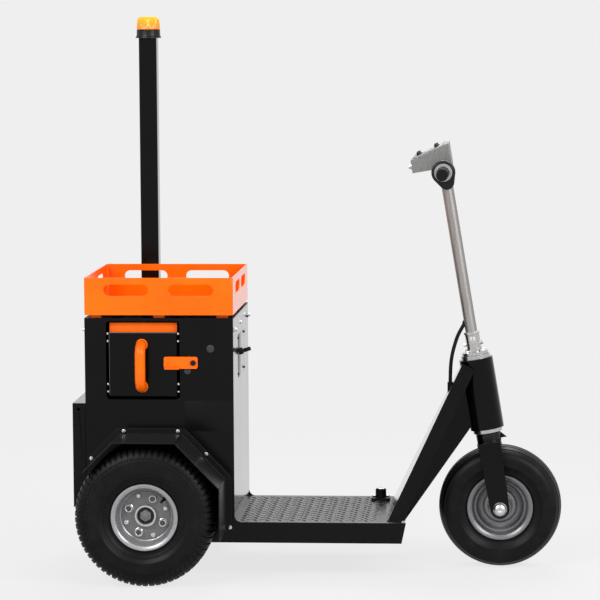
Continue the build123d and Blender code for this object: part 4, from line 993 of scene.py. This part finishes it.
for count in range(GRIP_RIBS):
    low = GRIP_IN + RIBS_FROM + count * pitch
    grip_line += [(GROOVE_R, low), (GROOVE_R, low + GROOVE_END * pitch)]
    grip_line += [(RIB_R, low + RIB_START * pitch), (RIB_R, low + RIB_END * pitch)]
grip_line += [(GRIP_R, GRIP_OUT - GRIP_RIM_OUT), (GRIP_R, GRIP_OUT - GRIP_EDGE_OUT)]
grip_line += [(GRIP_R - GRIP_EDGE_OUT, GRIP_OUT), (0, GRIP_OUT)]
grip_line += [(0, GRIP_OUT - GRIP_END_T), (GRIP_BORE, GRIP_OUT - GRIP_END_T)]
grips = bmesh.new()
for _, hand in HANDS:
    sleeve_line = [(radius, hand * along) for radius, along in grip_line]
    join(grips, turned(sleeve_line, (0, 0, BAR_UP), (0, 1, 0), 40))
bmesh.ops.transform(grips, matrix=STEER, verts=grips.verts)
add_piece(grips, "ribbed_grips", grip_rubber, "steering", "black_rubber", "grips")

# Throttle pod: a moulded teardrop housing of black plastic, clamped on the bar beside the right grip. A pale
# collar between the two turns with the grip.
POD_R, POD_TIP_R = 0.032, 0.020
POD_DROP, POD_TURN = 0.028, radians(10)
POD_RIGHT, POD_LEFT, POD_EDGE = -0.1497, -0.1177, 0.005
POD_COLLAR = (  # radius, distance from the pod
    (0.0165, 0.0), (0.0235, 0.0), (0.0240, 0.001), (0.0236, 0.009), (0.0225, 0.010), (0.0165, 0.010),
)
hang = POD_TURN - pi / 2
tip = (POD_DROP * cos(hang), BAR_UP + POD_DROP * sin(hang))
lean = acos((POD_R - POD_TIP_R) / POD_DROP)
pod_line = arc(tip, POD_TIP_R, hang - lean, hang + lean, 24)
pod_line += arc((0, BAR_UP), POD_R, hang + lean, hang + 2 * pi - lean, 48)
bm = bmesh.new()
add_slab(bm, pod_line, POD_RIGHT, POD_LEFT, POD_EDGE)
add_piece(bm, "moulded_pod", black_plastic, "steering", "black_plastic", "throttle_pod")
collar_grey = powder_coat("collar_grey", (0.30, 0.30, 0.31), roughness=0.35, grain=0.04, specular=0.4)
bm = turned(POD_COLLAR, (0, POD_RIGHT, BAR_UP), (0, -1, 0), 48)
bmesh.ops.transform(bm, matrix=STEER, verts=bm.verts)
add_piece(bm, "throttle_collar", collar_grey, "steering", "console_grey")

# Foot switch: a plunger in a rubber sleeve, with a polished metal cap for the driver's foot. It stands on a
# black plastic base that two hexagon bolts hold.
CAP_R, CAP_T = 0.0128, 0.0015
BASE_BOLT_IN, BASE_BOLT_R, BASE_BOLT_T = 0.007, 0.0045, 0.004
UPWARD = Vector((0, 0, 1))
dress(black_plastic, "foot_switch_base")
dress(grip_rubber, "foot_switch_button")
soften(SHEET_EDGE, "foot_switch_base")
plunger_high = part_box("foot_switch_button")[1]
base_low, base_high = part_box("foot_switch_base")
plunger = Vector(((base_low[0] + base_high[0]) / 2, (base_low[1] + base_high[1]) / 2, plunger_high[2]))
bm = bmesh.new()
add_head(bm, facing(plunger, UPWARD), CAP_R, CAP_T, sides=32, rounding=0.4)
for x in (base_low[0] + BASE_BOLT_IN, base_high[0] - BASE_BOLT_IN):
    place = facing((x, plunger.y, base_high[2]), UPWARD)
    add_head(bm, place, BASE_BOLT_R, BASE_BOLT_T, sides=6, rounding=0.2)
add_piece(bm, "switch_cap", zinc, "chassis", "bright_steel")

# Console: a grey cast box on the bar with a screwed lid, two pairs of push buttons and a plated knob at the
# back.
CONSOLE_REAR, CONSOLE_FRONT = -0.084, 0.024
CONSOLE_TOP_REAR, CONSOLE_TOP_FRONT = 0.974, 1.003
CONSOLE_HALF, CONSOLE_EDGE = 0.075, 0.0045
LID_T, LID_INSET, LID_SINK, LID_EDGE = 0.0025, 0.006, 0.001, 0.0011
LID_SCREW_IN, LID_SCREW_R, LID_SCREW_T = 0.013, 0.0035, 0.002
BUTTONS = ((0.225, 0.030), (0.69, 0.030))  # share of the lid from its rear edge, distance from the middle
BUTTON_SEAT_R, BUTTON_SEAT_T = 0.0075, 0.003
BUTTON_R, BUTTON_T = 0.0050, 0.006
KNOB_LEFT, KNOB_UP = -0.03, 0.956
KNOB_STEPS = ((0.010, 0.0, 0.004), (0.0065, 0.004, 0.006))  # radius, distance from the box, length
console_cast = plated_steel("console_cast", (0.27, 0.27, 0.265), roughness=0.45)
dress(console_cast, "console")
soften(CONSOLE_EDGE, "console")
lid_run = Vector((CONSOLE_FRONT - CONSOLE_REAR, 0, CONSOLE_TOP_FRONT - CONSOLE_TOP_REAR))
lid_middle = Vector(((CONSOLE_FRONT + CONSOLE_REAR) / 2, 0, (CONSOLE_TOP_FRONT + CONSOLE_TOP_REAR) / 2))
lid_place = Matrix.Translation(lid_middle) @ Matrix.Rotation(-lid_run.angle(Vector((1, 0, 0))), 4, "Y")
bm = bmesh.new()
add_plate(
    bm, (-lid_run.length / 2 + LID_INSET, LID_INSET - CONSOLE_HALF, -LID_SINK),
    (lid_run.length / 2 - LID_INSET, CONSOLE_HALF - LID_INSET, LID_T), LID_EDGE,
)
for ahead in (-1, 1):
    for left in (-1, 1):
        seat = (ahead * (lid_run.length / 2 - LID_SCREW_IN), left * (CONSOLE_HALF - LID_SCREW_IN), LID_T)
        add_head(bm, facing(seat, UPWARD), LID_SCREW_R, LID_SCREW_T, rounding=0.5)
bmesh.ops.transform(bm, matrix=STEER @ lid_place, verts=bm.verts)
add_piece(bm, "console_lid", console_cast, "steering", "console_grey")
bm = bmesh.new()
for share, left in BUTTONS:
    for hand in (-1, 1):
        seat = Vector(((share - 0.5) * lid_run.length, hand * left, LID_T))
        add_head(bm, facing(seat, UPWARD), BUTTON_SEAT_R, BUTTON_SEAT_T, rounding=0.4)
        add_head(bm, facing(seat + BUTTON_SEAT_T * UPWARD, UPWARD), BUTTON_R, BUTTON_T, rounding=0.3)
bmesh.ops.transform(bm, matrix=STEER @ lid_place, verts=bm.verts)
add_piece(bm, "console_buttons", black_plastic, "steering", "black_plastic")
bm = bmesh.new()
for radius, back, length in KNOB_STEPS:
    place = STEER @ facing((CONSOLE_REAR - back, KNOB_LEFT, KNOB_UP), -AHEAD)
    add_head(bm, place, radius, length, rounding=0.3)
add_piece(bm, "console_knob", zinc, "steering", "bright_steel")

# Cable: a sheathed lead that comes up out of the collar on the neck and goes into the steering tube through
# a rubber grommet.
CABLE_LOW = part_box("cable")[0]
CABLE_R = 0.005
CABLE_STEPS = ((0, 0), (0, 0.034), (0.004, 0.072), (0.014, 0.110), (0.025, 0.139), (0.046, 0.172))
GROMMET = ((0.0048, -0.016), (0.0064, -0.016), (0.0072, -0.012), (0.0078, -0.006), (0.0048, -0.004))
CABLE_FOOT = Vector((CABLE_LOW[0] + CABLE_R, 0, CABLE_LOW[2]))
route = bpy.data.curves.new("cable_route", "CURVE")
route.dimensions = "3D"
route.resolution_u = 12
spline = route.splines.new("NURBS")
spline.points.add(len(CABLE_STEPS) - 1)
for point, (ahead, above) in zip(spline.points, CABLE_STEPS):
    point.co = (*(CABLE_FOOT + Vector((ahead, 0, above))), 1)
spline.order_u = 3
spline.use_endpoint_u = True
line = bpy.data.objects.new("cable_route", route)
path = [v.co.copy() for v in bpy.data.meshes.new_from_object(line).vertices]
bpy.data.objects.remove(line)


def add_lead(bm, path, radius):
    """A round lead along a path of points."""
    start = facing(path[0], path[1] - path[0])
    ring = bmesh.ops.create_circle(bm, cap_ends=True, segments=16, radius=radius, matrix=start)["verts"]
    face = ring[0].link_faces[0]
    for before, here, after in zip(path, path[1:], [*path[2:], None]):
        grown = bmesh.ops.extrude_face_region(bm, geom=[face])["geom"]
        moved = [v for v in grown if isinstance(v, bmesh.types.BMVert)]
        face = next(f for f in grown if isinstance(f, bmesh.types.BMFace))
        ahead = (after - before) if after else (here - before)
        shift = facing(here, ahead) @ start.inverted()
        bmesh.ops.transform(bm, matrix=shift, verts=moved)
        start = facing(here, ahead)


bm = bmesh.new()
add_lead(bm, path, CABLE_R)
bmesh.ops.recalc_face_normals(bm, faces=bm.faces)
mesh = bpy.data.meshes.new("steering_cable")
bm.to_mesh(mesh)
bm.free()
mesh.shade_smooth()
mesh.set_sharp_from_angle(angle=radians(50))
mesh.materials.append(grip_rubber)
cable = bpy.data.objects.new("steering_cable", mesh)
bpy.context.collection.objects.link(cable)
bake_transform(cable)
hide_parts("cable")
inward = (path[-1] - path[-3]).normalized()
bm = turned(GROMMET, path[-1], inward, 24)
add_piece(bm, "cable_grommet", grip_rubber, "steering", "black_rubber")
